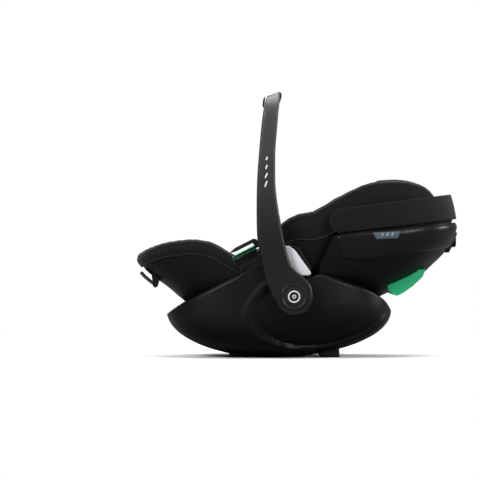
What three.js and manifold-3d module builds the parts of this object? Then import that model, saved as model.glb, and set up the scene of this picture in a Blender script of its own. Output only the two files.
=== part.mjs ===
// Infant car seat: a reclining bucket carried in an outer cradle, with a swinging carry handle.
// Millimetres, +Z up. The child's head is towards +X and its left side is -Y.
// The origin is on the ground, under the middle of the seat's box.
import * as THREE from "three";
import { mergeVertices } from "three/addons/utils/BufferGeometryUtils.js";
import Module from "manifold-3d";

const wasm = await Module();
wasm.setup();

// ---- driving dimensions ----
const GAP = 0.4; // running gap between neighbouring pieces
const HUB = { x: -11, z: 140, radius: 42 }; // axis that the handle and the bucket both turn on
const CANOPY = { x: 96, z: 311, rise: 0.13, half: 27 }; // canopy hinge, slope and half height of the folded hood
const SEAT = { foot: -365, head: 328, half: 175, wall: 4 }; // the bucket
const CRADLE = { x: -60, z: 105, foot: 240, head: 274, half: 200, drop: 107, rise: 420, wall: 4, floor: 2 };
const BACK = { front: 38, bend: 60, head: 362, half: 195.5, wall: 3 }; // outer shell behind the child's back
const ARM = { inner: 207.5, outer: 222, corner: 50, top: 590 }; // carry handle
const DISH = { x: 60, z: 122, long: 157, tall: 87, tilt: 14, edge: 1.2, depth: 6 }; // oval hollow in the cradle's side
const HOOD = { x: 60, reach: 305, half: 201, leanBack: 13, leanSide: 3, thick: 3.5, flare: 0.16 };
const SLIDE = { x: -0.911, z: -0.412 }; // way that the headrest comes down the back

// ---- materials ----
const finish = (color, roughness, metalness = 0) => new THREE.MeshStandardMaterial({ color, roughness, metalness });
const shellPlastic = finish(0x1b1b1c, 0.5);
const handlePlastic = finish(0x2a2a2b, 0.42);
const softGrip = finish(0x121213, 0.8);
const blackFabric = finish(0x1d1d1e, 0.95);
const paddedFabric = finish(0x242425, 0.95);
const greenPlastic = finish(0x2fc486, 0.45);
const greyPlastic = finish(0xd6d3d9, 0.5);
const redPlastic = finish(0xc8201c, 0.4);
const slateFabric = finish(0x5f6c78, 0.8);
const webbing = finish(0x2b2b2d, 0.85);
const steel = finish(0xb9bcc0, 0.3, 1);
const rubber = finish(0x17171a, 0.9);

// ---- geometry helpers ----
const point = (x, y, z) => new THREE.Vector3(x, y, z);
const power = (t, n) => Math.sign(t) * Math.abs(t) ** (2 / n);
const range = (n) => Array.from({ length: n + 1 }, (_, i) => i / n);

// A smooth curve through points [x, y], which doesn't overshoot between them.
function through(points) {
  const slopes = points.slice(1).map(([x, y], i) => (y - points[i][1]) / (x - points[i][0]));
  const tangents = points.map((_, i) => {
    const before = slopes[Math.max(i - 1, 0)];
    const after = slopes[Math.min(i, slopes.length - 1)];
    return before * after <= 0 ? 0 : (2 * before * after) / (before + after);
  });
  return (x) => {
    const last = points.length - 2;
    const i = Math.min(Math.max(points.findIndex(([px]) => px > x) - 1, x >= points[last][0] ? last : 0), last);
    const [[x0, y0], [x1, y1]] = [points[i], points[i + 1]];
    const width = x1 - x0;
    const t = Math.min(Math.max((x - x0) / width, 0), 1);
    const [t2, t3] = [t * t, t * t * t];
    return (
      y0 * (2 * t3 - 3 * t2 + 1) +
      y1 * (3 * t2 - 2 * t3) +
      width * (tangents[i] * (t3 - 2 * t2 + t) + tangents[i + 1] * (t3 - t2))
    );
  };
}

// A closed three.js mesh as a manifold-3d solid.
function solid(geometry) {
  const bare = new THREE.BufferGeometry().setAttribute("position", geometry.getAttribute("position"));
  if (geometry.index) bare.setIndex(geometry.index);
  const merged = mergeVertices(bare, 1e-3);
  const positions = merged.getAttribute("position").array;
  const faces = [];
  for (let i = 0; i < merged.index.count; i += 3) {
    const [a, b, c] = merged.index.array.subarray(i, i + 3);
    if (a !== b && b !== c && c !== a) faces.push(a, b, c);
  }
  const make = (list) =>
    new wasm.Manifold(new wasm.Mesh({ numProp: 3, vertProperties: positions, triVerts: new Uint32Array(list) }));
  const made = make(faces);
  return made.volume() < 0 ? make(faces.reverse()) : made;
}

function geometryOf(made) {
  const { numProp, vertProperties, triVerts } = made.getMesh();
  const positions = new Float32Array((vertProperties.length / numProp) * 3);
  for (let i = 0; i < positions.length / 3; i++)
    positions.set(vertProperties.subarray(i * numProp, i * numProp + 3), i * 3);
  const geometry = new THREE.BufferGeometry().setAttribute("position", new THREE.BufferAttribute(positions, 3));
  geometry.setIndex(new THREE.BufferAttribute(triVerts, 1));
  geometry.computeVertexNormals();
  return geometry;
}

// The solid inside a stack of rings with the same number of points, closed by a fan at each end.
function skin(rings) {
  const positions = [];
  const triangle = (...corners) => corners.forEach((p) => positions.push(p.x, p.y, p.z));
  const count = rings[0].length;
  rings.slice(1).forEach((ring, i) => {
    for (let j = 0; j < count; j++) {
      const [a, b, c, d] = [rings[i][j], rings[i][(j + 1) % count], ring[(j + 1) % count], ring[j]];
      triangle(a, b, c);
      triangle(a, c, d);
    }
  });
  for (const [ring, flip] of [[rings[0], true], [rings.at(-1), false]]) {
    const middle = ring.reduce((sum, p) => sum.add(p), point(0, 0, 0)).divideScalar(count);
    for (let j = 0; j < count; j++) {
      const next = ring[(j + 1) % count];
      if (flip) triangle(next, ring[j], middle);
      else triangle(ring[j], next, middle);
    }
  }
  return solid(new THREE.BufferGeometry().setAttribute("position", new THREE.Float32BufferAttribute(positions, 3)));
}

// A prism: an outline of [x, z] points seen from the side, from y = low to y = high.
function slab(outline, low, high) {
  const shape = new THREE.Shape(outline.map(([x, z]) => new THREE.Vector2(x, z)));
  const geometry = new THREE.ExtrudeGeometry(shape, { depth: high - low, bevelEnabled: false });
  return solid(geometry.rotateX(Math.PI / 2).translate(0, high, 0));
}

const box = (x0, x1, y0, y1, z0, z1) =>
  solid(new THREE.BoxGeometry(x1 - x0, y1 - y0, z1 - z0).translate((x0 + x1) / 2, (y0 + y1) / 2, (z0 + z1) / 2));

// The stretch of y from `low` to `high` on the right, or its mirror image on the left.
const mirrored = (side, low, high) => (side < 0 ? [-high, -low] : [low, high]);

// A round bar across the seat, from y = low to y = high.
const crossBar = (x, z, radius, low, high, sides = 16) =>
  solid(new THREE.CylinderGeometry(radius, radius, high - low, sides).translate(x, (low + high) / 2, z));

// A rectangle with cut corners, width along `across`, thickness along `out`, about a centre.
function plateRing(centre, across, out, width, thickness, cut = 2.5) {
  const [w, t] = [width / 2, thickness / 2];
  const c = Math.min(cut, w * 0.6, t * 0.6);
  return [[w - c, -t], [w, c - t], [w, t - c], [w - c, t], [c - w, t], [-w, t - c], [-w, c - t], [c - w, -t]].map(
    ([u, v]) => centre.clone().addScaledVector(across, u).addScaledVector(out, v),
  );
}

// A flat strap through points [x, z, y], `width` wide. It lies crosswise to `out`, or to its own side-view normal.
function strap(points, width, thickness, cut = 0.5, up = null) {
  const path = points.map(([x, z, y = 0]) => point(x, y, z));
  return skin(
    path.map((p, i) => {
      const along = path[Math.min(i + 1, path.length - 1)].clone().sub(path[Math.max(i - 1, 0)]).normalize();
      const across = new THREE.Vector3().crossVectors(up ?? point(-along.z, 0, along.x), along).normalize();
      return plateRing(p, across, new THREE.Vector3().crossVectors(along, across), width, thickness, cut);
    }),
  );
}

// ---- the seat bucket and what follows its shape ----
const seatRim = through([
  [-365, 227], [-330, 244], [-290, 255], [-240, 260], [-200, 254], [-160, 232], [-125, 216], [-100, 230],
  [-83, 244], [-32, 299], [2, 318], [30, 322], [60, 337], [103, 362], [170, 389], [226, 393], [282, 382],
  [308, 362], [322, 341], [328, 325],
]);
const seatBottom = through([
  [-365, 225], [-350, 200], [-325, 179], [-300, 161], [-250, 120], [-200, 90], [-150, 68], [-100, 54], [-50, 49],
  [0, 55], [50, 78], [100, 104], [150, 130], [208, 157], [259, 180], [282, 198], [302, 224], [318, 262], [328, 322],
]);

// The bucket's outer shape moved in by `inset`, filled up to its rim and on up by `raise`.
function bucket(inset, raise, stations = 18, sides = 12) {
  const rings = range(stations).map((t) => {
    const swing = -Math.cos(Math.PI * t);
    const length = swing < 0 ? -SEAT.foot : SEAT.head;
    const x = swing * (length - inset);
    const plan = swing < 0 ? 2.4 : 2.7;
    const half = (SEAT.half - inset) * (1 - Math.abs(swing) ** plan) ** (1 / plan);
    const rim = seatRim(x);
    const low = Math.min(seatBottom(swing * length) + inset, rim - 0.5);
    const around = range(sides).map((s) => {
      const turn = Math.PI * (1 + s);
      return point(x, half * power(Math.cos(turn), 2.4), rim + (rim - low) * power(Math.sin(turn), 2.4));
    });
    return [point(x, -half, rim + raise), ...around, point(x, half, rim + raise)];
  });
  return skin(rings);
}

// Height of the surface `inset` in from the bucket's outside, over a place in plan.
function floorAt(x, y, inset) {
  const length = x < 0 ? -SEAT.foot : SEAT.head;
  const swing = x / (length - inset);
  const plan = x < 0 ? 2.4 : 2.7;
  const half = (SEAT.half - inset) * (1 - Math.abs(swing) ** plan) ** (1 / plan);
  const rim = seatRim(x);
  return rim - (rim - seatBottom(swing * length) - inset) * (1 - (Math.abs(y) / half) ** 2.4) ** (1 / 2.4);
}

const bucketOuter = bucket(0, 0.01);
const seatTub = bucketOuter.subtract(bucket(SEAT.wall, 40));

// Padded cover: lines the bucket, rolls over its rim and ends in a hem outside.
const hem = range(18).map((t) => SEAT.foot - 8 + t * (SEAT.head - SEAT.foot + 16)).map((x) => [x, seatRim(x) - 26]);
const belowHem = slab([[-400, 0], [400, 0], [400, hem.at(-1)[1]], ...hem.reverse(), [-400, 190]], -260, 260);
const insideWall = bucket(SEAT.wall + GAP, 40);
const seatCover = bucket(-3, 7)
  .subtract(bucket(16.5, 60))
  .subtract(bucket(-GAP, GAP).subtract(insideWall))
  .subtract(belowHem.subtract(insideWall));

const infantInsert = bucket(17.3, 0.01).subtract(bucket(33, 60)).intersect(box(-140, 86, -118, 118, 0, 196));
const headrest = bucket(19.5, 9).subtract(bucket(44, 90)).intersect(box(138, 330, -200, 200, 0, 500));

// ---- outer shell behind the back ----
const backTop = through([[20, 262], [69, 272], [97, 280], [165, 287.5], [228, 292], [314, 302], [362, 307]]);
const backBottom = through([
  [38, 70], [100, 96], [150, 119], [208, 146], [259, 168], [282, 184], [305, 206], [337, 238], [352, 264], [362, 296],
]);

// The back shell's outer shape moved in by `inset`, filled level with its top edge less `drop`.
function backBlob(inset, drop, from = BACK.front, stations = 13, sides = 12) {
  const reach = BACK.head - inset;
  return skin(
    range(stations).map((t) => {
      const along = Math.sin((Math.PI / 2) * t);
      const x = from + (reach - from) * along;
      const share = Math.max(0, (x - BACK.bend) / (reach - BACK.bend));
      const half = (BACK.half - inset) * Math.max(0, 1 - share ** 3) ** (1 / 3);
      const top = backTop(x) - drop;
      const low = Math.min(backBottom(from + (BACK.head - from) * along) + inset, top - 0.5);
      return range(sides).map((s) => {
        const turn = Math.PI * (1 + s);
        return point(x, half * Math.cos(turn), top + (top - low) * Math.sin(turn));
      });
    }),
  );
}

const backFront = slab([[0, 320], [76, 320], [76, 273], [46, 205], [62, 60], [0, 60]], -260, 260);
const backShell = backBlob(0, 0)
  .subtract(backBlob(BACK.wall, BACK.wall, BACK.front - 8))
  .subtract(bucket(-2.6, 60))
  .subtract(backFront);

// Side impact panels: a raised band round the back shell, parted at the rear for the lever.
const panelBand = slab([[86, 320], [372, 320], [372, 252], [130, 222], [100, 226]], -260, 260);
const onSide = (side, apart) => box(60, 400, ...mirrored(side, apart, 260), 100, 400);
const sidePanels = backBlob(-3.6, 3).subtract(backBlob(-GAP, 0)).intersect(panelBand);
const sidePanel = (side) => sidePanels.intersect(onSide(side, 34));
const tagOutline = [[165, 283], [229, 287], [223, 271], [174, 268]];
const sideTag = (side) =>
  backBlob(-5, 3).subtract(backBlob(-4, 2.6)).intersect(slab(tagOutline, -260, 260)).intersect(onSide(side, 34));

// Rear lever for the headrest, in the gap between the panels.
const rearLever = backBlob(-6.8, -4).subtract(backBlob(-1, 0)).intersect(box(320, 400, -30, 30, 238, 284));

// Saddle that carries the car's diagonal belt round the back of the shell.
const beltSaddle = slab(
  [[200, 170], [205, 152], [214, 143], [226, 140], [240, 147], [262, 163], [283, 183], [290, 200], [250, 200]], -96, 96)
  .subtract(backBlob(-GAP, 0));

// ---- cradle ----
const cradleRim = through([
  [-300, 98], [-265, 122], [-214, 149], [-126, 191], [-83, 212], [-55, 213], [-30, 197], [0, 181], [25, 180],
  [40, 186], [54, 189], [81, 181], [123, 167], [170, 150], [198, 132], [214, 110],
]);

// How far the oval hollow takes the cradle's side in at a place seen from the side.
function dish(x, z) {
  const tilt = THREE.MathUtils.degToRad(DISH.tilt);
  const [dx, dz] = [x - DISH.x, z - DISH.z];
  const along = (dx * Math.cos(tilt) + dz * Math.sin(tilt)) / DISH.long;
  const across = (dz * Math.cos(tilt) - dx * Math.sin(tilt)) / DISH.tall;
  return DISH.depth * (1 - THREE.MathUtils.smoothstep(Math.hypot(along, across), 1, DISH.edge));
}

function cradleBlob(inset, stations = 20, sides = 24) {
  return skin(
    range(stations).map((t) => {
      const swing = -Math.cos(Math.PI * t);
      const x = CRADLE.x + swing * ((swing < 0 ? CRADLE.foot : CRADLE.head) - inset);
      const half = (CRADLE.half - inset) * Math.max(0, 1 - Math.abs(swing) ** 3.2) ** (1 / 3.2);
      const arch = Math.sqrt(Math.max(0, 1 - swing * swing));
      return range(sides).slice(1).map((s) => {
        const turn = 2 * Math.PI * s;
        const tall = (Math.sin(turn) < 0 ? CRADLE.drop : CRADLE.rise) - inset;
        const z = CRADLE.z + tall * arch * power(Math.sin(turn), 2.6);
        const y = half * power(Math.cos(turn), 2.6);
        return point(x, Math.sign(y) * Math.max(0, Math.abs(y) - dish(x, z) * Math.min(1, Math.abs(y) / 120)), z);
      });
    }),
  );
}

const rimLine = range(20).map((t) => -304 + t * 522).map((x) => [x, cradleRim(x)]);
const underRim = slab([[-310, CRADLE.floor], [230, CRADLE.floor], [230, 100], ...rimLine.reverse(), [-310, 95]], -260, 260);
const cradleOuter = cradleBlob(0);
const cradleHollow = cradleBlob(CRADLE.wall).intersect(box(-400, 400, -260, 260, CRADLE.floor + CRADLE.wall, 400));

// Bars under the cradle that a car base or a stroller frame locks on to.
const DOCK = [{ name: "docking_bar_front", x: -150, z: 17 }, { name: "docking_bar_rear", x: 98, z: 30 }];
const dockTray = ({ x, z }) => box(x - 15, x + 15, -54, 54, CRADLE.floor, z + 11).intersect(cradleBlob(0));
const dockSlot = ({ x, z }) => box(x - 11, x + 11, -50, 50, -5, z + 8).add(crossBar(x, z, 5.4, -52.5, 52.5, 12));
const dockBar = ({ x, z }) => crossBar(x, z, 5, -52, 52, 12);

const hubHole = (side) => crossBar(HUB.x, HUB.z, 36.6, ...mirrored(side, 150, 230), 24);
const cradle = [hubHole(-1), hubHole(1), ...DOCK.map(dockSlot)].reduce(
  (whole, cut) => whole.subtract(cut),
  DOCK.reduce((whole, dock) => whole.add(dockTray(dock)), cradleOuter.subtract(cradleHollow).intersect(underRim)),
);

// Rubber feet.
const FEET = [["front_left", -135, -85], ["front_right", -135, 85], ["rear_left", 72, -85], ["rear_right", 72, 85]];
const cradleClear = cradleBlob(-GAP);
const foot = (x, y) => box(x - 22, x + 22, y - 11, y + 11, 0, 40).subtract(cradleClear);

// ---- hub: tower on the cradle, boss through its wall, axle to the bucket ----
const towerOutline = [
  [-124, 204], [-104, 226], [-80, 243], [-58, 256], [-30, 262], [2, 250], [28, 206], [26, 150], [16, 110], [-38, 110],
  [-60, 150], [-94, 186],
];
const hubTower = (side) =>
  slab(towerOutline, ...mirrored(side, 182.6, 186.8)).subtract(crossBar(HUB.x, HUB.z, 9.4, ...mirrored(side, 150, 230)));
const hubBoss = (side) =>
  crossBar(HUB.x, HUB.z, 36, ...mirrored(side, 187.2, 207), 24).subtract(
    crossBar(HUB.x, HUB.z, 9.4, ...mirrored(side, 150, 230)),
  );
const hubAxle = (side) =>
  crossBar(HUB.x, HUB.z, 9, ...mirrored(side, 130, 206.8), 16).subtract(bucket(-GAP, 1));

const releaseOutline = [[-34, 254], [-20, 253], [-7, 242], [26, 196], [27, 190], [22, 187], [8, 187], [-14, 198], [-26, 222]];
const releaseButton = (side) => slab(releaseOutline, ...mirrored(side, 193.5, 201));

// ---- carry handle ----
const armFront = through([
  [106, -30], [114, -39], [136, -57], [185, -76], [240, -86], [278, -92], [341, -93], [401, -92], [476, -87], [532, -82],
  [ARM.top, -75],
]);
const armRear = through([
  [106, 14], [120, 28], [155, 30.5], [181, 17], [196, -9], [215, -20], [252, -30], [327, -44.5], [356, -49], [401, -53],
  [457, -53], [513, -49], [569, -44], [ARM.top, -41],
]);
const X_AXIS = point(1, 0, 0);

// Rings of the handle's left half, from the hub up the arm, round the corner and along to the middle.
function handleRings(slimX = 0, thin = ARM.outer - ARM.inner, drop = 0) {
  const middle = (ARM.inner + ARM.outer) / 2;
  const straight = [106, 114, 125, 155, 172, 184, 194, 205, 225, 260, 327, 401, 476];
  const bend = ARM.top - ARM.corner;
  const ring = (z, y, height, lean) => {
    const [front, rear] = [armFront(height) + slimX, armRear(height) - slimX];
    const out = point(0, -Math.cos(lean), Math.sin(lean));
    const across = point(1, 0, Math.tan(THREE.MathUtils.degToRad(17)) * Math.sin(lean) ** 2);
    return plateRing(point((front + rear) / 2, y, z - drop), lean ? across : X_AXIS, out, rear - front, thin);
  };
  return [
    ...straight.map((z) => ring(z, -middle, z, 0)),
    ...range(5).map((t) => {
      const lean = (Math.PI / 2) * t;
      const [y, z] = [ARM.corner * Math.cos(lean), ARM.corner * Math.sin(lean)];
      return ring(bend + z, -(middle - ARM.corner) - y, bend + z, lean);
    }),
    ring(ARM.top, 0, ARM.top, Math.PI / 2),
  ];
}

const flipSide = (made) => {
  const geometry = geometryOf(made).scale(1, -1, 1);
  return solid(geometry);
};
const armEnd = 148;
const armLeft = skin(handleRings())
  .intersect(box(-200, 100, -300, -armEnd, 0, 700))
  .add(crossBar(HUB.x, HUB.z, HUB.radius, -ARM.outer, -ARM.inner, 28))
  .subtract(crossBar(HUB.x, HUB.z, 31, -230, -210.5, 24));
const coreHalf = skin(handleRings(4, 10)).intersect(box(-200, 100, -armEnd + GAP, 1, 0, 700));
const handleCore = coreHalf.add(flipSide(coreHalf));
const gripHalf = skin(handleRings(-4.5, 19, 1.5)).intersect(box(-200, 100, -112, 1, 0, 700));
const coreClear = skin(handleRings(3.6, 10.8)).intersect(box(-200, 100, -140, 1, 0, 700));
const handleGrip = gripHalf.subtract(coreClear).add(flipSide(gripHalf.subtract(coreClear)));
const handleButton = (side) => crossBar(HUB.x, HUB.z, 30.4, ...mirrored(side, 216.5, 223), 24);

// A coil spring along Y, between a button and the floor of its pocket.
function coilSpring(side) {
  const [low, high] = mirrored(side, 211.4, 215.6);
  const [turns, radius, wire] = [2, 12, 0.8];
  class Helix extends THREE.Curve {
    getPoint(t) {
      const turn = 2 * Math.PI * turns * t;
      return point(HUB.x + radius * Math.cos(turn), low + (high - low) * t, HUB.z + radius * Math.sin(turn));
    }
  }
  const section = new THREE.Shape(new THREE.EllipseCurve(0, 0, wire / 2, wire / 2).getPoints(4).slice(0, 4));
  return solid(new THREE.ExtrudeGeometry(section, { steps: 22, extrudePath: new Helix(), bevelEnabled: false }));
}

// ---- canopy, folded round the head of the seat ----
// A place on the folded hood: how far along the seat, side, height from its middle line (-1 to 1), inset.
function hoodPoint(x, side, height, inset) {
  const t = (height + 1) / 2;
  const share = Math.min(1, (x - HOOD.x) / HOOD.reach);
  const px = HOOD.x + share * (HOOD.reach - HOOD.leanBack * t - inset);
  const y = (HOOD.half - HOOD.leanSide * t - inset) * Math.max(0, 1 - share ** 3) ** (1 / 3);
  const back = Math.min(1, Math.max(0, (CANOPY.x - x) / CANOPY.half));
  const flare = height < 0 ? 1 + HOOD.flare * share : 1; // the band grows deeper towards the head
  const tall = CANOPY.half * Math.sqrt(Math.max(0, 1 - back * back)) * flare;
  return point(px, side * y, CANOPY.z + CANOPY.rise * (px - CANOPY.x) + tall * height);
}
const hoodPlan = [
  ...[0, 0.1, 0.2, 0.3, 0.4, 0.5, 0.6, 0.7, 0.8, 0.9].map((p) => HOOD.x + HOOD.reach * (1 - p ** 3)),
  CANOPY.x, CANOPY.x - 12, CANOPY.x - 21, CANOPY.x - CANOPY.half,
];
const hoodStations = [...hoodPlan.slice(1).reverse().map((x) => [x, -1]), ...hoodPlan.map((x) => [x, 1])];

// A band that follows the hood between two insets, `height` up and down from its middle line.
function hoodBand(outer, inner, height) {
  const corners = [[-height, outer], [0, outer], [height, outer], [height, inner], [0, inner], [-height, inner]];
  return skin(hoodStations.map(([x, side]) => corners.map(([level, inset]) => hoodPoint(x, side, level, inset))));
}
const hinge = (radius, side, low, high) => crossBar(CANOPY.x, CANOPY.z, radius, ...mirrored(side, low, high), 16);
const canopyVisor = [-1, 1].reduce(
  (whole, side) => whole.add(hinge(12, side, 185.5, 198)).subtract(hinge(8.4, side, 170, 196.4)),
  hoodBand(0, HOOD.thick, 1),
);
const canopyFabric = hoodBand(4.4, 13, 0.8).intersect(box(112, 400, -260, 260, 0, 500));

// Steel bow under the middle of the hood, with an eye at each end.
function midBow() {
  const stations = hoodStations.filter(([x]) => x > CANOPY.x - 4).map(([x, side]) => hoodPoint(x, side, 0, 17));
  const path = new THREE.CatmullRomCurve3(stations);
  const section = new THREE.Shape(new THREE.EllipseCurve(0, 0, 2.2, 2.2).getPoints(5).slice(0, 5));
  const rod = solid(new THREE.ExtrudeGeometry(section, { steps: 30, extrudePath: path, bevelEnabled: false }));
  return [-1, 1].reduce(
    (whole, side) => whole.add(hinge(12, side, 180.6, 185)).subtract(hinge(8.4, side, 170, 195)),
    rod,
  );
}
const canopyPivot = (side) => hinge(8, side, 170, 196).subtract(bucket(-GAP, 1));

// ---- belt hooks on the bucket's sides ----
const hookSpot = { x: -120, z: 246, slope: 27 };
function lapHook(side) {
  const outline = [[-34, -9], [30, -9], [33, -2], [33, 8], [28, 13], [-20, 13], [-38, 8], [-20, 5], [22, 5], [22, -2], [-34, -2]];
  const slope = THREE.MathUtils.degToRad(hookSpot.slope);
  const turned = outline.map(([u, v]) => [
    hookSpot.x + u * Math.cos(slope) - v * Math.sin(slope),
    hookSpot.z + u * Math.sin(slope) + v * Math.cos(slope),
  ]);
  const stem = [[-132, 196], [-98, 196], [-94, 248], [-134, 232]];
  return slab(turned, ...mirrored(side, 179, 199)).add(slab(stem, ...mirrored(side, 179, 182.4)));
}

// ---- harness ----
// Points over the infant insert: `rise` above its surface at `out` further from the middle than y.
const overInsert = (points, side, rise, out) =>
  points.map(([x, y]) => [x, floorAt(x, y + out, 33) + rise, side * y]);
const shoulderY = through([[-24, 22], [24, 32], [72, 37], [136, 40]]);
const shoulderPath = [136, 124, 104, 84, 64, 44, 24, 0, -24].map((x) => [x, shoulderY(x)]);
const shoulderStrap = (side) => strap(overInsert(shoulderPath, side, 10.4, 24), 36, 2);
const shoulderPad = (side) => {
  const path = overInsert(shoulderPath, side, 10.4, 24);
  return strap(path.slice(1, 7), 48, 15, 4).subtract(strap(path, 37, 3.2));
};
const lapPath = [[-36, 44], [-36, 60], [-35, 76], [-34, 90]];
const lapStrap = (side) => strap(overInsert(lapPath, side, 5.5, 7), 24, 2, 0.5, point(0, 0.25 * -side, 1));
// Points down the middle of the seat, `rise` above the surface `inset` in, cleared out to `reach` on each side.
const upMiddle = (stations, inset, reach, rise) => stations.map((x) => [x, floorAt(x, reach, inset) + rise]);
const onInsert = (stations, rise) => upMiddle(stations, 33, 26, rise);
const buckleAt = (stations, rise) => stations.map((x) => [x, 98 - 0.06 * (x + 60) + rise]);
const buckleBody = strap(buckleAt([-82, -76, -48, -36], 0), 46, 15, 4);
const buckleButton = strap(buckleAt([-66, -50], 8.6), 22, 4, 1.5);
const buckleSocket = strap(buckleAt([-70, -46], 8), 23, 9, 0.4);
const buckleSlot = box(-46, -30, -22, 22, 94, 98.4);
const tongue = (side) => box(-45.4, -26, ...mirrored(side, 2, 20), 94.6, 97.8);
const crotchPath = onInsert([-124, -119, -110, -100, -89, -83], 9);
const crotchStrap = strap(crotchPath, 38, 2);
const crotchPad = strap(crotchPath.slice(1, 5), 52, 11, 3).subtract(strap(crotchPath, 39, 3));

// Harness adjuster between the child's legs, with the strap that pulls it tight.
const onCover = (stations, rise) => upMiddle(stations, 16.5, 24, rise);
const adjusterHousing = strap(onCover([-204, -188, -172, -156], 7.4), 46, 9, 3);
const adjusterSocket = strap(onCover([-196, -170], 12), 25, 10, 0.4);
const adjusterButton = strap(onCover([-194, -172], 12), 23, 5, 2);
const adjusterStrap = strap(onCover([-208, -226, -246, -266, -286], 4.4), 25, 2.4);

// Recline lever under the front lip of the bucket.
const reclineLever = strap([[-360, 193], [-352, 184], [-338, 172], [-326, 163]], 84, 6, 2).subtract(bucket(-3, 1));

// ---- assembly ----
const seat = new THREE.Group();
function place(name, made, material) {
  const mesh = new THREE.Mesh(geometryOf(made), material);
  mesh.name = name;
  seat.add(mesh);
}
const SIDES = [["left", -1], ["right", 1]];

place("cradle_shell", cradle, shellPlastic);
DOCK.forEach((dock) => place(dock.name, dockBar(dock), steel));
FEET.forEach(([name, x, y]) => {
  place("rubber_foot_" + name, foot(x, y), rubber);
});
place("seat_tub", seatTub, shellPlastic);
place("seat_cover", seatCover, blackFabric);
place("infant_insert", infantInsert, paddedFabric);
place("headrest", headrest, paddedFabric);
place("back_shell", backShell, shellPlastic);
place("headrest_lever", rearLever, handlePlastic);
place("diagonal_belt_guide", beltSaddle, greenPlastic);
place("canopy_visor", canopyVisor, blackFabric);
place("canopy_mid_bow", midBow(), steel);
place("canopy_fabric", canopyFabric, blackFabric);
place("handle_crossbar", handleCore, handlePlastic);
place("handle_grip", handleGrip, softGrip);
place("handle_arm_left", armLeft, handlePlastic);
place("handle_arm_right", flipSide(armLeft), handlePlastic);
for (const [name, side] of SIDES) {
  place("hub_tower_" + name, hubTower(side), shellPlastic);
  place("hub_boss_" + name, hubBoss(side), shellPlastic);
  place("hub_axle_" + name, hubAxle(side), steel);
  place("release_button_" + name, releaseButton(side), greyPlastic);
  place("handle_button_" + name, handleButton(side), handlePlastic);
  place("button_spring_" + name, coilSpring(side), steel);
  place("side_panel_" + name, sidePanel(side), handlePlastic);
  place("side_tag_" + name, sideTag(side), slateFabric);
  place("canopy_pivot_" + name, canopyPivot(side), shellPlastic);
  place("lap_belt_hook_" + name, lapHook(side), greenPlastic);
  place("shoulder_strap_" + name, shoulderStrap(side), webbing);
  place("shoulder_pad_" + name, shoulderPad(side), paddedFabric);
  place("buckle_tongue_" + name, tongue(side), steel);
  place("lap_strap_" + name, lapStrap(side), webbing);
}
place("buckle_body", buckleBody.subtract(buckleSocket).subtract(buckleSlot), shellPlastic);
place("buckle_button", buckleButton, redPlastic);
place("crotch_strap", crotchStrap, webbing);
place("crotch_pad", crotchPad, paddedFabric);
place("adjuster_housing", adjusterHousing.subtract(adjusterSocket), shellPlastic);
place("adjuster_button", adjusterButton, greyPlastic);
place("adjuster_strap", adjusterStrap, webbing);
place("recline_lever", reclineLever, greyPlastic);

export default seat;
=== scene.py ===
import math

import bmesh
import bpy
import numpy as np
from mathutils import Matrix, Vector
from mathutils.bvhtree import BVHTree


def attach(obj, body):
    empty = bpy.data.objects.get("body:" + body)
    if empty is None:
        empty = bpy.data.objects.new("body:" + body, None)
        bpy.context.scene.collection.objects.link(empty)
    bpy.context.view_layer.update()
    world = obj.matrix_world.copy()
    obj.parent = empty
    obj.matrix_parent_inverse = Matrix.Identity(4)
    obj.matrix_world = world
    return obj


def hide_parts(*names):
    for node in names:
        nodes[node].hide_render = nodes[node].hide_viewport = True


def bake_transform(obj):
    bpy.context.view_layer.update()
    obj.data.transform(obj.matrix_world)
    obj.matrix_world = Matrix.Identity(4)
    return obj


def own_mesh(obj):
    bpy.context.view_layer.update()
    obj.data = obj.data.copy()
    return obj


print("loading the frame")
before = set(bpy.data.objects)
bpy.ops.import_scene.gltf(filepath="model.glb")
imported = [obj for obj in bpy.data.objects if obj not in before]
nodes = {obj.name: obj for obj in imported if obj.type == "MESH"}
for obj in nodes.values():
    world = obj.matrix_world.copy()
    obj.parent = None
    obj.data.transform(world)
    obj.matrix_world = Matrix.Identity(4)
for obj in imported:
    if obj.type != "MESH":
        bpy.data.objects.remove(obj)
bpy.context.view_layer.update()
mm = 0.001

hub = {"x": -11, "z": 140, "radius": 42, "pocket": 31}
bucket = {"foot": 365, "head": 328, "half": 175, "section": 2.4}
cradle = {"x": -60, "z": 105, "foot": 240, "head": 274, "half": 200, "drop": 107, "rise": 420, "floor": 2,
          "wall": 4}
dishShape = {"x": 60, "z": 122, "long": 157, "tall": 87, "tilt": 14, "depth": 5, "foot": 15, "lip": 2.5}
backShape = {"front": 38, "bend": 60, "head": 362, "half": 195.5, "wall": 3}
arm = {"inner": 207.5, "outer": 222, "corner": 50, "top": 590}
hood = {"x": 96, "z": 311, "rise": 0.13, "tall": 27, "start": 60, "reach": 305, "half": 201,
        "leanBack": 13, "leanSide": 3, "flare": 0.16}


def throughPoints(points):
    # a smooth curve through [x, y] points that doesn't overshoot: cubic pieces with harmonic-mean slopes
    x, y = np.array(points, float).T
    slopes = np.diff(y) / np.diff(x)
    before, after = np.append(slopes[:1], slopes), np.append(slopes, slopes[-1:])
    total = np.where(before * after > 0, before + after, 1)
    tangents = np.where(before * after > 0, 2 * before * after / total, 0)

    def curve(at):
        at = np.clip(at, x[0], x[-1])
        i = np.clip(np.searchsorted(x, at, side="right") - 1, 0, len(x) - 2)
        width = x[i + 1] - x[i]
        t = (at - x[i]) / width
        flat = y[i] * (2 * t**3 - 3 * t**2 + 1) + y[i + 1] * (3 * t**2 - 2 * t**3)
        return flat + width * (tangents[i] * (t**3 - 2 * t**2 + t) + tangents[i + 1] * (t**3 - t**2))

    return curve


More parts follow.
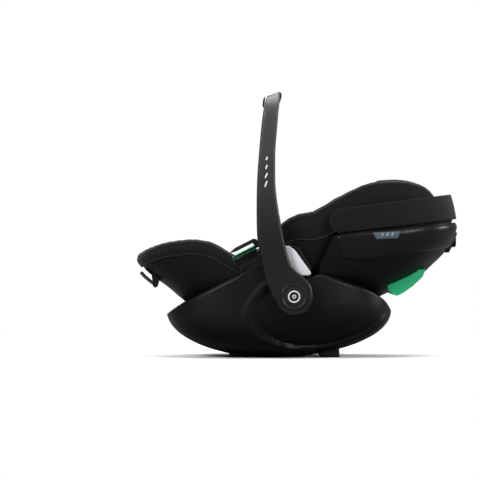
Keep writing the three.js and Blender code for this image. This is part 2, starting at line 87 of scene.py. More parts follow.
seatRim = throughPoints([
    [-365, 227], [-330, 244], [-290, 255], [-240, 260], [-200, 254], [-160, 232], [-125, 216], [-100, 230],
    [-83, 244], [-32, 299], [2, 318], [30, 322], [60, 337], [103, 362], [170, 389], [226, 393], [282, 382],
    [308, 362], [322, 341], [328, 325]])
seatBottom = throughPoints([
    [-365, 225], [-350, 200], [-325, 179], [-300, 161], [-250, 120], [-200, 90], [-150, 68], [-100, 54],
    [-50, 49],
    [0, 55], [50, 78], [100, 104], [150, 130], [208, 157], [259, 180], [282, 198], [302, 224], [318, 262],
    [328, 322]])
cradleRim = throughPoints([
    [-300, 98], [-265, 122], [-214, 149], [-126, 191], [-83, 212], [-55, 213], [-30, 197], [0, 181],
    [25, 180],
    [40, 186], [54, 189], [81, 181], [123, 167], [170, 150], [198, 132], [214, 110]])
backTop = throughPoints([[20, 262], [69, 272], [97, 280], [165, 287.5], [228, 292], [314, 302], [362, 307]])
backBottom = throughPoints([
    [38, 70], [100, 96], [150, 119], [208, 146], [259, 168], [282, 184], [305, 206], [337, 238],
    [352, 264], [362, 296]])


def smoothStep(low, high, value):
    t = np.clip((value - low) / (high - low), 0, 1)
    return t * t * (3 - 2 * t)


def bisect(low, high, isBelow, steps=34):
    # halves [low, high] until it closes on the place where isBelow turns false
    for _ in range(steps):
        middle = (low + high) / 2
        below = isBelow(middle)
        low, high = np.where(below, middle, low), np.where(below, high, middle)
    return (low + high) / 2


def finishMesh(obj, sharpAngle=38, outward=True):
    # closes seams and poles, turns the faces outwards, and shades smooth apart from real edges
    bm = bmesh.new()
    bm.from_mesh(obj.data)
    bmesh.ops.remove_doubles(bm, verts=bm.verts, dist=2e-6)
    bmesh.ops.dissolve_degenerate(bm, dist=1e-7, edges=bm.edges)
    if outward:
        bmesh.ops.recalc_face_normals(bm, faces=bm.faces)
        if bm.calc_volume(signed=True) < 0:
            bmesh.ops.reverse_faces(bm, faces=bm.faces)
    for face in bm.faces:
        face.smooth = True
    limit = math.radians(sharpAngle)
    for edge in bm.edges:
        edge.smooth = len(edge.link_faces) != 2 or edge.calc_face_angle(0) < limit
    bm.to_mesh(obj.data)
    bm.free()
    obj.data.update()
    return obj


def meshFrom(name, points, faces, uv=None, sharpAngle=38, outward=True):
    mesh = bpy.data.meshes.new(name)
    mesh.from_pydata((np.asarray(points, float).reshape(-1, 3) * mm).tolist(), [], faces.tolist())
    if uv is not None:
        layer = mesh.uv_layers.new(name="UVMap")
        corner = np.zeros(len(mesh.loops), np.int32)
        mesh.loops.foreach_get("vertex_index", corner)
        layer.data.foreach_set("uv", (uv.reshape(-1, 2)[corner] * mm).astype(np.float32).ravel())
    obj = bpy.data.objects.new(name.replace(" ", "_"), mesh)
    bpy.context.scene.collection.objects.link(obj)
    return finishMesh(obj, sharpAngle, outward)


def quadsOf(rows, columns, wrapColumns=False, wrapRows=False):
    index = np.arange(rows * columns).reshape(rows, columns)
    if wrapColumns:
        index = np.concatenate([index, index[:, :1]], 1)
    if wrapRows:
        index = np.concatenate([index, index[:1]], 0)
    return np.stack([index[:-1, :-1], index[:-1, 1:], index[1:, 1:], index[1:, :-1]], -1).reshape(-1, 4)


def gridMesh(name, grid, wrapColumns=False, wrapRows=False, sharpAngle=38, outward=True):
    # a surface over a grid [row, column, xyz]; its UV map holds millimetres along the rows and the columns
    rows, columns = grid.shape[:2]
    down = np.concatenate([np.zeros((1, columns)), np.linalg.norm(np.diff(grid, axis=0), axis=2).cumsum(0)])
    over = np.concatenate([np.zeros((rows, 1)), np.linalg.norm(np.diff(grid, axis=1), axis=2).cumsum(1)], 1)
    uv = np.stack([np.broadcast_to(over.mean(0), over.shape),
                   np.broadcast_to(down.mean(1)[:, None], down.shape)], -1)
    return meshFrom(name, grid, quadsOf(rows, columns, wrapColumns, wrapRows), uv, sharpAngle, outward)


def wallMesh(name, outer, inner, sharpAngle=38):
    # a closed wall between two grids of the same size: both faces, and a strip round their four borders
    rows, columns = outer.shape[:2]
    count = rows * columns
    index = np.arange(count).reshape(rows, columns)
    border = np.concatenate([index[0], index[1:, -1], index[-1, -2::-1], index[-2:0:-1, 0]])
    after = np.roll(border, -1)
    strip = np.stack([after, border, border + count, after + count], -1)
    face = quadsOf(rows, columns)
    faces = np.concatenate([face, face[:, ::-1] + count, strip])
    points = np.concatenate([outer.reshape(-1, 3), inner.reshape(-1, 3)])
    return meshFrom(name, points, faces, None, sharpAngle)


def carried(name, path, profile, across, out, scales=None, sharpAngle=38):
    # a closed profile [k, 2] carried along a path [n, 3]: first number goes along `across`,
    # second along `out`
    size = np.ones(len(path)) if scales is None else np.asarray(scales, float)
    offset = profile[None, :, :] * size[:, None, None]
    grid = path[:, None, :] + offset[..., :1] * across[:, None, :] + offset[..., 1:] * out[:, None, :]
    return gridMesh(name, grid, wrapColumns=True, sharpAngle=sharpAngle)


def roundedProfile(width, thickness, corner, perCorner=5):
    # a rectangle with quarter-circle corners, as [k, 2]
    w, t, r = width / 2, thickness / 2, min(corner, width / 2 - 0.01, thickness / 2 - 0.01)
    turns = np.concatenate([np.linspace(q, q + 1, perCorner) * math.pi / 2 for q in range(4)])
    centre = np.repeat([[w - r, t - r], [r - w, t - r], [r - w, r - t], [w - r, r - t]], perCorner, 0)
    return centre + r * np.stack([np.cos(turns), np.sin(turns)], 1)


def resample(points, count):
    # `count` evenly spaced points on a smooth curve through the given ones, by arc length
    points = np.asarray(points, float)
    length = np.append(0, np.linalg.norm(np.diff(points, axis=0), axis=1).cumsum())
    at = np.linspace(0, length[-1], count)
    return np.stack([throughPoints(np.stack([length, points[:, k]], 1))(at)
                     for k in range(points.shape[1])], 1)


def unit(vectors):
    return vectors / np.maximum(np.linalg.norm(vectors, axis=-1, keepdims=True), 1e-9)


def strapFrames(path, up=None):
    # directions across a strap and out of its face, for every point of its path
    along = unit(np.gradient(path, axis=0))
    if up is None:
        up = np.stack([-along[:, 2], 0 * along[:, 0], along[:, 0]], 1)
    across = unit(np.cross(np.broadcast_to(up, along.shape), along))
    return across, unit(np.cross(along, across))


class Sum:
    # wraps a shader socket, so that a sum written in Python adds its Math nodes
    def __init__(self, paint, socket):
        self.paint, self.socket = paint, socket

    def math(self, operation, first, second=None):
        values = {0: first} if second is None else {0: first, 1: second}
        return self.paint.node("ShaderNodeMath", {"operation": operation}, values)

    def __add__(self, other):
        return self.math("ADD", self, other)

    __radd__ = __add__

    def __sub__(self, other):
        return self.math("SUBTRACT", self, other)

    def __rsub__(self, other):
        return self.math("SUBTRACT", other, self)

    def __mul__(self, other):
        return self.math("MULTIPLY", self, other)

    __rmul__ = __mul__

    def __pow__(self, other):
        return self.math("POWER", self, other)

    def abs(self):
        return self.math("ABSOLUTE", self)

    def sin(self):
        return self.math("SINE", self)

    def above(self, other):
        return self.math("GREATER_THAN", self, other)

    def step(self, low, high):
        # 0 below low, 1 above high, smooth between
        return self.paint.node("ShaderNodeMapRange", {"interpolation_type": "SMOOTHSTEP", "clamp": True},
                               {0: self, 1: low, 2: high, 3: 0.0, 4: 1.0})


class Paint:
    # builds one material; constant values go straight on to the shader's own sockets
    def __init__(self, name, constants):
        self.material = bpy.data.materials.new(name)
        self.material.use_nodes = True
        self.tree = self.material.node_tree
        self.tree.nodes.clear()
        self.shader = self.tree.nodes.new("ShaderNodeBsdfPrincipled")
        end = self.tree.nodes.new("ShaderNodeOutputMaterial")
        self.tree.links.new(self.shader.outputs[0], end.inputs["Surface"])
        for socket, value in constants.items():
            self.shader.inputs[socket].default_value = value
        self.place = self.node("ShaderNodeTexCoord", {}, {}, "Object")

    def feed(self, socket, value):
        if isinstance(value, Sum):
            self.tree.links.new(value.socket, socket)
        else:
            socket.default_value = value

    def node(self, kind, settings, inputs, output=0):
        made = self.tree.nodes.new(kind)
        for key, value in settings.items():
            if key == "stops":
                for i, (position, color) in enumerate(value):
                    stop = made.color_ramp.elements[i] if i < 2 else made.color_ramp.elements.new(position)
                    stop.position, stop.color = position, color
            else:
                setattr(made, key, value)
        for key, value in inputs.items():
            self.feed(made.inputs[key], value)
        return Sum(self, made.outputs[output])

    def noise(self, scale, detail=3.0, roughness=0.55, place=None):
        return self.node("ShaderNodeTexNoise", {},
                         {"Vector": place or self.place, "Scale": scale, "Detail": detail,
                                                    "Roughness": roughness}, "Fac")

    def cells(self, scale, place=None):
        return self.node("ShaderNodeTexVoronoi", {}, {"Vector": place or self.place, "Scale": scale},
                         "Distance")

    def parts(self, place=None):
        split = self.node("ShaderNodeSeparateXYZ", {}, {0: place or self.place})
        made = split.socket.node
        return [Sum(self, made.outputs[k]) for k in range(3)]

    def blend(self, amount, dark, light):
        return self.node("ShaderNodeMix", {"data_type": "RGBA"}, {"Factor": amount, 6: dark, 7: light}, 2)

    def bump(self, height, distance, strength=1.0):
        return self.node("ShaderNodeBump", {},
                         {"Height": height, "Distance": distance, "Strength": strength}, "Normal")

    def use(self, **links):
        for socket, value in links.items():
            self.feed(self.shader.inputs[socket.replace("_", " ")], value)
        return self.material


def grey(value, tint=(0, 0, 0)):
    return (value + tint[0], value + tint[1], value + tint[2], 1)


def shade(color, factor):
    return (color[0] * factor, color[1] * factor, color[2] * factor, 1)


def mouldedPlastic(name, color, roughness, grain=1.0, coat=0.0, scuff=0.06, gloss=0.2, paintedTopLight=None):
    # fine spark-eroded grain, slow unevenness in gloss, a few dull scuffs; optionally painted light that
    # makes the upper part lighter in tone, standing in for the top lamp
    paint = Paint(name, {"IOR": 1.46, "Specular IOR Level": gloss, "Coat Weight": coat,
                         "Coat Roughness": 0.25})
    fine = paint.noise(2600, 2, 0.5)
    cells = paint.cells(1500)
    slow = paint.noise(9, 4)
    marks = paint.noise(60, 5, 0.7).step(0.6, 0.78)
    toned = paint.blend(slow, shade(color, 0.86), shade(color, 1.12))
    if paintedTopLight:
        # painted light: a lighter tone that comes in between two heights, standing in for the top lamp
        # falling on the upper part
        toned = paint.blend(paint.parts()[2].step(paintedTopLight["from"], paintedTopLight["to"]), toned,
                            shade(color, paintedTopLight["times"]))
    return paint.use(
        Base_Color=paint.blend(marks * scuff, toned, shade(color, 1.7)),
        Roughness=(slow - 0.5) * 0.12 + marks * 0.1 + roughness,
        Normal=paint.bump(fine * 0.6 + cells * 0.5, 0.00012 * grain, 0.5))


def knitFabric(name, color, pitch=1.5, fuzz=1.0, sheen=0.25):
    # small knit loops in offset rows, heather in the yarn, soft fuzz and slow creases
    paint = Paint(name, {"IOR": 1.35, "Sheen Weight": sheen, "Sheen Roughness": 0.45,
                         "Specular IOR Level": 0.25})
    x, y, z = paint.parts()
    turns = 2 * math.pi / (pitch * mm)
    over = (x * turns + z * (turns * 0.25)).sin()
    under = (y * turns + z * (turns * 0.9)).sin()
    third = (z * turns + x * (turns * 0.4)).sin()
    loops = (over * under + third * 0.5).abs()
    yarn = paint.noise(900, 3, 0.7)
    slow = paint.noise(14, 3)
    crease = paint.noise(26, 2, 0.4)
    tone = loops * 0.55 + yarn * 0.45
    return paint.use(
        Base_Color=paint.blend(tone * 0.7 + slow * 0.3, shade(color, 0.6), shade(color, 1.45)),
        Roughness=0.86 + (yarn - 0.5) * 0.12,
        Normal=paint.bump(loops * 0.5 + yarn * 0.6 * fuzz + crease * 3.0, 0.0005, 0.55))


def wovenWeb(name, color):
    # chevron webbing: ribs along the strap, slanted picks, thicker woven edges; reads the strap's own UV
    paint = Paint(name, {"IOR": 1.4, "Sheen Weight": 0.15, "Specular IOR Level": 0.3})
    uv = paint.node("ShaderNodeTexCoord", {}, {}, "UV")
    across, along, _ = paint.parts(uv)
    ribs = (across * (2 * math.pi / (2.4 * mm))).sin()
    picks = (along * (2 * math.pi / (1.3 * mm)) + ribs * 1.3).sin()
    weave = ribs * 0.35 + picks * 0.5
    yarn = paint.noise(1100, 2, 0.6)
    return paint.use(
        Base_Color=paint.blend(weave * 0.35 + yarn * 0.4 + 0.2, shade(color, 0.55), shade(color, 1.5)),
        Roughness=0.62 + yarn * 0.2,
        Normal=paint.bump(weave + yarn * 0.3, 0.0003, 0.6))


def brushedSteel(name, color, roughness=0.28):
    # fine lines drawn along the bar, with slight stains
    paint = Paint(name, {"Metallic": 1.0})
    x, y, z = paint.parts()
    stretched = paint.node("ShaderNodeCombineXYZ", {}, {0: x, 1: y * 0.03, 2: z})
    lines = paint.noise(2400, 2, 0.6, stretched)
    stain = paint.noise(40, 4)
    return paint.use(
        Base_Color=paint.blend(stain, shade(color, 0.82), shade(color, 1.05)),
        Roughness=roughness + (lines - 0.5) * 0.25 + (stain - 0.5) * 0.15,
        Normal=paint.bump(lines, 0.00006, 0.4))


def softRubber(name, color):
    # dull skin with pores and paler rub marks
    paint = Paint(name, {"IOR": 1.45, "Specular IOR Level": 0.35})
    pores = paint.cells(1100)
    slow = paint.noise(30, 4)
    return paint.use(
        Base_Color=paint.blend(slow, shade(color, 0.8), shade(color, 1.35)),
        Roughness=0.72 + (slow - 0.5) * 0.2,
        Normal=paint.bump(pores * 0.8 + slow, 0.00022, 0.6))


print("mixing the materials")
paints = {
    "shell": mouldedPlastic("shell satin black", grey(0.0042), 0.4, 1.0),
    "inside": mouldedPlastic("shell inside", grey(0.006), 0.6, 1.4),
    # the handle's arm is painted lighter towards its top: painted light standing in for the top lamp
    "handle": mouldedPlastic("handle satin grey with painted top light", grey(0.010), 0.34, 0.8, scuff=0.1, gloss=0.35,
                             paintedTopLight={"from": 0.22, "to": 0.58, "times": 5.5}),
    "panel": mouldedPlastic("panel satin black", grey(0.0052), 0.32, 0.9, gloss=0.28),
    "button": mouldedPlastic("button pale grey", (0.62, 0.61, 0.64, 1), 0.45, 0.8, scuff=0.02),
    "lever": mouldedPlastic("lever dark grey", grey(0.05), 0.42, 0.8, gloss=0.35),
    "green": mouldedPlastic("belt guide green", (0.03, 0.56, 0.24, 1), 0.38, 0.8, 0.1, 0.03, 0.4),
    "horn": mouldedPlastic("hook horn", grey(0.008), 0.4, 0.9, gloss=0.3),
    "red": mouldedPlastic("buckle red", (0.55, 0.02, 0.018, 1), 0.33, 0.5, 0.2, 0.04, 0.4),
    "mark": mouldedPlastic("printed mark white", grey(0.72), 0.5, 0.4, scuff=0.02),
    "cover": knitFabric("cover black knit", grey(0.0062), 1.7, sheen=0.1),
    "padding": knitFabric("padding charcoal knit", grey(0.013), 1.4, 1.2, 0.16),
    "hood": knitFabric("hood black cloth", grey(0.0065), 1.1, 0.8, 0.1),
    "piping": knitFabric("piping", grey(0.014), 0.9, 0.7, 0.12),
    "thread": knitFabric("sewing thread", grey(0.045), 0.5, 0.5, 0.1),
    "label": knitFabric("label slate weave", (0.09, 0.12, 0.155, 1), 0.8, 0.6, 0.1),
    "web": wovenWeb("harness webbing", grey(0.022)),
    "steel": brushedSteel("bar steel", grey(0.62)),
    "rubber": softRubber("foot rubber", grey(0.009)),
    "grip": softRubber("grip rubber", grey(0.010)),
}


def dress(obj, paint):
    obj.data.materials.clear()
    obj.data.materials.append(paints[paint])
    return obj


def settle(obj, paint, slotName, body, *replaced):
    dress(obj, paint)
    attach(obj, body)
    if replaced:
        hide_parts(*replaced)
    return obj


def evaluated(obj, levels=0):
    # applies the modifiers, so that only plain mesh is left
    if levels:
        extra = obj.modifiers.new("smooth", "SUBSURF")
        extra.levels = extra.render_levels = levels
    bpy.context.view_layer.update()
    made = bpy.data.meshes.new_from_object(obj.evaluated_get(bpy.context.evaluated_depsgraph_get()))
    obj.modifiers.clear()
    obj.data = made
    return obj


def carve(obj, cutters):
    # takes the cutters' shapes out of a closed piece
    for cutter in cutters:
        cut = obj.modifiers.new("cut", "BOOLEAN")
        cut.operation, cut.solver, cut.object = "DIFFERENCE", "EXACT", cutter
        evaluated(obj)
        bpy.data.objects.remove(cutter)
    return finishMesh(obj)


def softened(node, name, width=1.2, segments=3, flat=2.0):
    # a copy of a prism-like CAD piece with its edges rounded off
    obj = bpy.data.objects.new(name.replace(" ", "_"), nodes[node].data.copy())
    obj.data.materials.clear()
    bpy.context.scene.collection.objects.link(obj)
    bm = bmesh.new()
    bm.from_mesh(obj.data)
    bmesh.ops.remove_doubles(bm, verts=bm.verts, dist=1e-5)
    bmesh.ops.dissolve_limit(bm, angle_limit=math.radians(flat), verts=bm.verts, edges=bm.edges)
    bm.to_mesh(obj.data)
    bm.free()
    edge = obj.modifiers.new("round", "BEVEL")
    edge.width, edge.segments = width * mm, segments
    edge.limit_method, edge.angle_limit = "ANGLE", math.radians(28)
    evaluated(obj)
    return finishMesh(obj, 50)


def cylinderMesh(name, x, z, radius, low, high, sides=64):
    # a closed bar along y
    turns = np.linspace(0, 2 * math.pi, sides, endpoint=False)
    ring = np.stack([x + radius * np.cos(turns), 0 * turns, z + radius * np.sin(turns)], 1)
    rows = [np.broadcast_to([x, low, z], ring.shape), ring + [0, low, 0], ring + [0, high, 0],
            np.broadcast_to([x, high, z], ring.shape)]
    return gridMesh(name, np.stack(rows), wrapColumns=True)


def turnedMesh(name, x, z, profile, side, sides=96):
    # a profile of [radius, |y|] points turned round the y axis through x, z
    turns = np.linspace(0, 2 * math.pi, sides, endpoint=False)
    rings = [np.stack([x + r * np.cos(turns), side * y + 0 * turns, z + r * np.sin(turns)], 1)
             for r, y in profile]
    return gridMesh(name, np.stack(rings), wrapColumns=True, wrapRows=True, sharpAngle=45)


def mirroredCopy(obj, name):
    # the same piece on the other side, with its faces turned back outwards
    copy = bpy.data.objects.new(name.replace(" ", "_"), obj.data.copy())
    bpy.context.scene.collection.objects.link(copy)
    bm = bmesh.new()
    bm.from_mesh(copy.data)
    for vertex in bm.verts:
        vertex.co.y = -vertex.co.y
    bmesh.ops.reverse_faces(bm, faces=bm.faces)
    bm.to_mesh(copy.data)
    bm.free()
    copy.data.update()
    return copy


print("cradle")


def cradleHalf(x, inset):
    swing = np.abs(x - cradle["x"]) / (np.where(x < cradle["x"], cradle["foot"], cradle["head"]) - inset)
    swing = np.clip(swing, 0, 1)
    return (cradle["half"] - inset) * (1 - swing**3.2) ** (1 / 3.2), np.sqrt(1 - swing**2)


def cradleReach(turn, z, inset):
    # how far out the cradle's wall is in a direction of plan, at a height: a superellipse in
    # every cross-section
    def inside(r):
        half, arch = cradleHalf(cradle["x"] + r * np.cos(turn), inset)
        tall = (np.where(z < cradle["z"], cradle["drop"], cradle["rise"]) - inset) * arch
        inPlan = (np.abs(r * np.sin(turn)) / np.maximum(half, 1e-6)) ** 2.6
        return inPlan + (np.abs(z - cradle["z"]) / np.maximum(tall, 1e-6)) ** 2.6 < 1

    return bisect(0 * turn * z, 0 * turn * z + 300, inside)


def cradleFront(x):
    # how far a place is into the cradle's front, where the reclined bucket comes down: 0 to 1
    return 1 - smoothStep(-286, -225, x)


def cradleGrid(inset, columns=280, rows=60):
    turn = np.linspace(0, 2 * math.pi, columns, endpoint=False)
    bottom = cradle["floor"] + inset
    top = bisect(0 * turn + bottom, 0 * turn + 230,
                 lambda z: z < cradleRim(cradle["x"] + cradleReach(turn, z, inset) * np.cos(turn)))
    share = 0.5 - 0.5 * np.cos(np.linspace(0, math.pi, rows))[:, None]
    z = bottom + (top - bottom) * share
    turns = np.broadcast_to(turn, z.shape)
    reach = cradleReach(turns, z, inset)
    # the top edge rolls inwards, except beside the hub towers
    x = cradle["x"] + reach * np.cos(turns)
    tower = smoothStep(-146, -126, x) * (1 - smoothStep(30, 60, x))
    size = 7.0 * (1 - tower) * (1 - 0.75 * cradleFront(x)) + 0.01  # a tighter roll at the front
    reach = reach - size + np.sqrt(np.maximum(0, size**2 - (size - np.minimum(top - z, size)) ** 2))
    floor = np.linspace(0, 1, 9)[:-1, None] * reach[0]
    z = np.concatenate([np.broadcast_to(z[0], floor.shape), z])
    reach = np.concatenate([floor, reach])
    turns = np.broadcast_to(turn, z.shape)
    x, y = cradle["x"] + reach * np.cos(turns), reach * np.sin(turns)
    tilt = math.radians(dishShape["tilt"])
    dx, dz = x - dishShape["x"], z - dishShape["z"]
    along = (dx * math.cos(tilt) + dz * math.sin(tilt)) / dishShape["long"]
    over = (dz * math.cos(tilt) - dx * math.sin(tilt)) / dishShape["tall"]
    out = np.hypot(along, over)
    # deeper towards its lower border, with a soft lip just outside it
    deep = dishShape["depth"] + dishShape["foot"] * (1 - smoothStep(40, 125, z))
    sunk = deep * (1 - smoothStep(0.98, 1.11, out)) - dishShape["lip"] * np.exp(-((out - 1.15) / 0.06) ** 2)
    y = np.sign(y) * np.maximum(0, np.abs(y) - sunk * np.minimum(1, np.abs(y) / 120))
    return np.stack([x, y, z], -1)


def makeCradle():
    outer, inner = cradleGrid(0), cradleGrid(cradle["wall"])
    turns = np.linspace(0, math.pi, 7)[1:-1, None, None]
    middle, reach = (outer[-1] + inner[-1]) / 2, (outer[-1] - inner[-1]) / 2
    front = cradleFront(outer[-1][:, :1])
    roll = middle + reach * np.cos(turns) + np.array([0, 0, 1.0]) * (1.6 - 1.3 * front) * np.sin(turns)
    shell = gridMesh("cradle", np.concatenate([outer, roll, inner[::-1]]), wrapColumns=True)
    docks = [(-150, 17), (98, 30)]
    carve(shell, [boxMesh(x - 11, x + 11, -50, 50, -8, z + 8) for x, z in docks])
    carve(shell, [cylinderMesh("hub hole", hub["x"], hub["z"], 36.6, y, y + 80) for y in (-230, 150)])
    settle(shell, "shell", "shell_plastic", "cradle", "cradle_shell")
    for x, z in docks:
        tray = boxMesh(x - 15, x + 15, -54, 54, 9 if x < 0 else 24, z + 11)
        carve(tray, [boxMesh(x - 11, x + 11, -50, 50, -8, z + 8)])
        tray.name = "docking_tray_" + ("front" if x < 0 else "rear")
        settle(tray, "inside", "shell_plastic", "cradle")


def boxMesh(x0, x1, y0, y1, z0, z1):
    corner = np.array([[x0, y0], [x1, y0], [x1, y1], [x0, y1]], float)
    centre = corner.mean(0)
    rows = [(centre + 0 * corner, z0), (corner, z0), (corner, z1), (centre + 0 * corner, z1)]
    grid = np.stack([np.concatenate([flat, np.full((4, 1), z)], 1) for flat, z in rows])
    return gridMesh("block", grid, wrapColumns=True)


makeCradle()

print("bucket and cover")


def bowl(turn, rho, inset, rise=0.0):
    # the bucket's wall moved in by `inset`, over the place `rho` of the way out in a direction of plan
    cos, sin = np.cos(turn), np.sin(turn)
    length = np.where(cos < 0, bucket["foot"], bucket["head"])
    plan = np.where(cos < 0, 2.4, 2.7)
    out = np.abs(cos) ** (2 / plan)
    x = np.sign(cos) * (length - inset) * out * rho
    y = np.sign(sin) * (bucket["half"] - inset) * np.abs(sin) ** (2 / plan) * rho
    half = (bucket["half"] - inset) * np.maximum(0, 1 - (out * rho) ** plan) ** (1 / plan)
    ratio = np.clip(np.abs(y) / np.maximum(half, 1e-6), 0, 1)
    rim = seatRim(x)
    low = np.minimum(seatBottom(np.sign(cos) * length * out * rho) + inset, rim - 0.5)
    z = rim - (rim - low) * (1 - ratio ** bucket["section"]) ** (1 / bucket["section"])
    return np.stack([x, y, z + rise], -1)


def bowlDown(turn, depth, inset):
    # a place on the wall that lies `depth` under the rim
    def under(rho):
        place = bowl(turn, rho, inset)
        return place[..., 2] < seatRim(place[..., 0]) - depth

    return bowl(turn, bisect(0 * turn + 0.3, 0 * turn + 1.0, under), inset)


def rhoSteps(count, power=2.4):
    w = np.linspace(0, 1, count)
    return (1 - (1 - w) ** power) ** (1 / power)


def floorHeight(x, y, inset):
    # height of the bucket's surface moved in by `inset`, over a place in plan
    length = np.where(x < 0, bucket["foot"], bucket["head"])
    plan = np.where(x < 0, 2.4, 2.7)
    swing = x / (length - inset)
    half = (bucket["half"] - inset) * np.maximum(1e-9, 1 - np.abs(swing) ** plan) ** (1 / plan)
    rim = seatRim(x)
    ratio = np.clip(np.abs(y) / half, 0, 1)
    return rim - (rim - seatBottom(swing * length) - inset) * (1 - ratio**2.4) ** (1 / 2.4)


allTurns = np.linspace(0, 2 * math.pi, 240, endpoint=False)


def stitches(name, line, radius, pitch, body, slotName, paint):
    # a row of short slanted thread lumps along a line, each an eight-sided grain
    length = np.append(0, np.linalg.norm(np.diff(line, axis=0), axis=1).cumsum())
    count = int(length[-1] / pitch)
    at = (np.arange(count) + 0.5) * pitch
    place = np.stack([np.interp(at, length, line[:, k]) for k in range(3)], 1)
    ahead = np.stack([np.interp(at + 0.5, length, line[:, k]) for k in range(3)], 1)
    along = unit(ahead - place)
    first = unit(np.cross(along, np.array([0, 0.3, 1.0])))
    second = np.cross(along, first)
    steps = np.array([-1, -0.6, 0, 0.6, 1]) * pitch * 0.36
    sizes = np.array([0.05, 0.8, 1, 0.8, 0.05]) * radius
    turns = np.linspace(0, 2 * math.pi, 6, endpoint=False)
    ring = (np.cos(turns)[None, :, None] * first[:, None, None]
            + np.sin(turns)[None, :, None] * second[:, None, None])
    grains = (place[:, None, None] + steps[None, :, None, None] * along[:, None, None]
              + ring * sizes[None, :, None, None])
    one = quadsOf(5, 6, wrapColumns=True)
    caps = np.array([[5, 4, 3, 2], [5, 2, 1, 0], [24, 25, 26, 27], [24, 27, 28, 29]])
    faces = (np.concatenate([one, caps])[None] + (np.arange(count) * 30)[:, None, None]).reshape(-1, 4)
    obj = meshFrom(name, grains, faces)
    return settle(obj, paint, slotName, body)


def laidOn(obj, plan, lift=0.0):
    # drops points given in plan on to a piece from above, and lifts them off its surface
    tree = BVHTree.FromObject(obj, bpy.context.evaluated_depsgraph_get())
    hits = [tree.ray_cast(Vector((x * mm, y * mm, 0.6)), Vector((0, 0, -1))) for x, y in plan]
    found = [np.array(hit[0]) / mm + np.array(hit[1]) * lift for hit in hits if hit[0]]
    return np.array(found)


def seatHalf(x, inset):
    # half the bucket's width at x
    plan = np.where(x < 0, 2.4, 2.7)
    share = np.abs(x) / (np.where(x < 0, bucket["foot"], bucket["head"]) - inset)
    return (bucket["half"] - inset) * np.maximum(0, 1 - share**plan) ** (1 / plan)


def threadsOn(name, obj, rows, body):
    # top-stitching on a padded piece: one row of thread for each plan line
    for k, plan in enumerate(rows):
        stitches("%s thread %d" % (name, k), laidOn(obj, plan, 0.12), 0.42, 3.6,
                 body, "padded_fabric", "thread")


def planLine(x, y):
    return np.stack([x + 0.0 * y, y + 0.0 * x], 1)


def makeTub():
    rho = rhoSteps(52)[:, None]
    outer, inner = bowl(allTurns, rho, 0.0), bowl(allTurns, rho, 4.0)
    turns = np.linspace(0, math.pi, 6)[1:-1, None, None]
    middle, reach = (outer[-1] + inner[-1]) / 2, (outer[-1] - inner[-1]) / 2
    roll = middle + reach * np.cos(turns) + np.array([0, 0, 0.3]) * np.sin(turns)
    tub = gridMesh("bucket shell", np.concatenate([outer, roll, inner[::-1]]), wrapColumns=True)
    settle(tub, "shell", "shell_plastic", "bucket", "seat_tub")


coverShape = {"inside": 16.5, "outside": -3.0, "rollHigh": 8.0, "hem": 25.0, "headHem": 64.0,
              "puff": 2.2, "seam": 4.4,
              "crown": 2.6}
seamsAcross = [-262.0, -158.0, 108.0]  # sewn lines across the seat
seamAside = 0.7  # sewn line along each side, as a share of the half width


def seamPush(place, inset):
    # how far a surface sinks at its sewn lines: a narrow valley, and a soft crown between the lines
    x, y = place[..., 0], np.abs(place[..., 1])
    plan = np.where(x < 0, 2.4, 2.7)
    share = np.clip(np.abs(x) / (np.where(x < 0, bucket["foot"], bucket["head"]) - inset), 0, 1)
    half = (bucket["half"] - inset) * np.maximum(1e-6, 1 - share**plan) ** (1 / plan)
    gap = np.abs(y - seamAside * half)
    for seam in seamsAcross:
        bow = seam + 16 * (y / 150) ** 2 * (1 if seam < 0 else -1)
        gap = np.minimum(gap, np.abs(x - bow))
    return coverShape["seam"] * np.exp(-((gap / 3.2) ** 2)) + coverShape["crown"] * np.exp(-((gap / 16) ** 2))


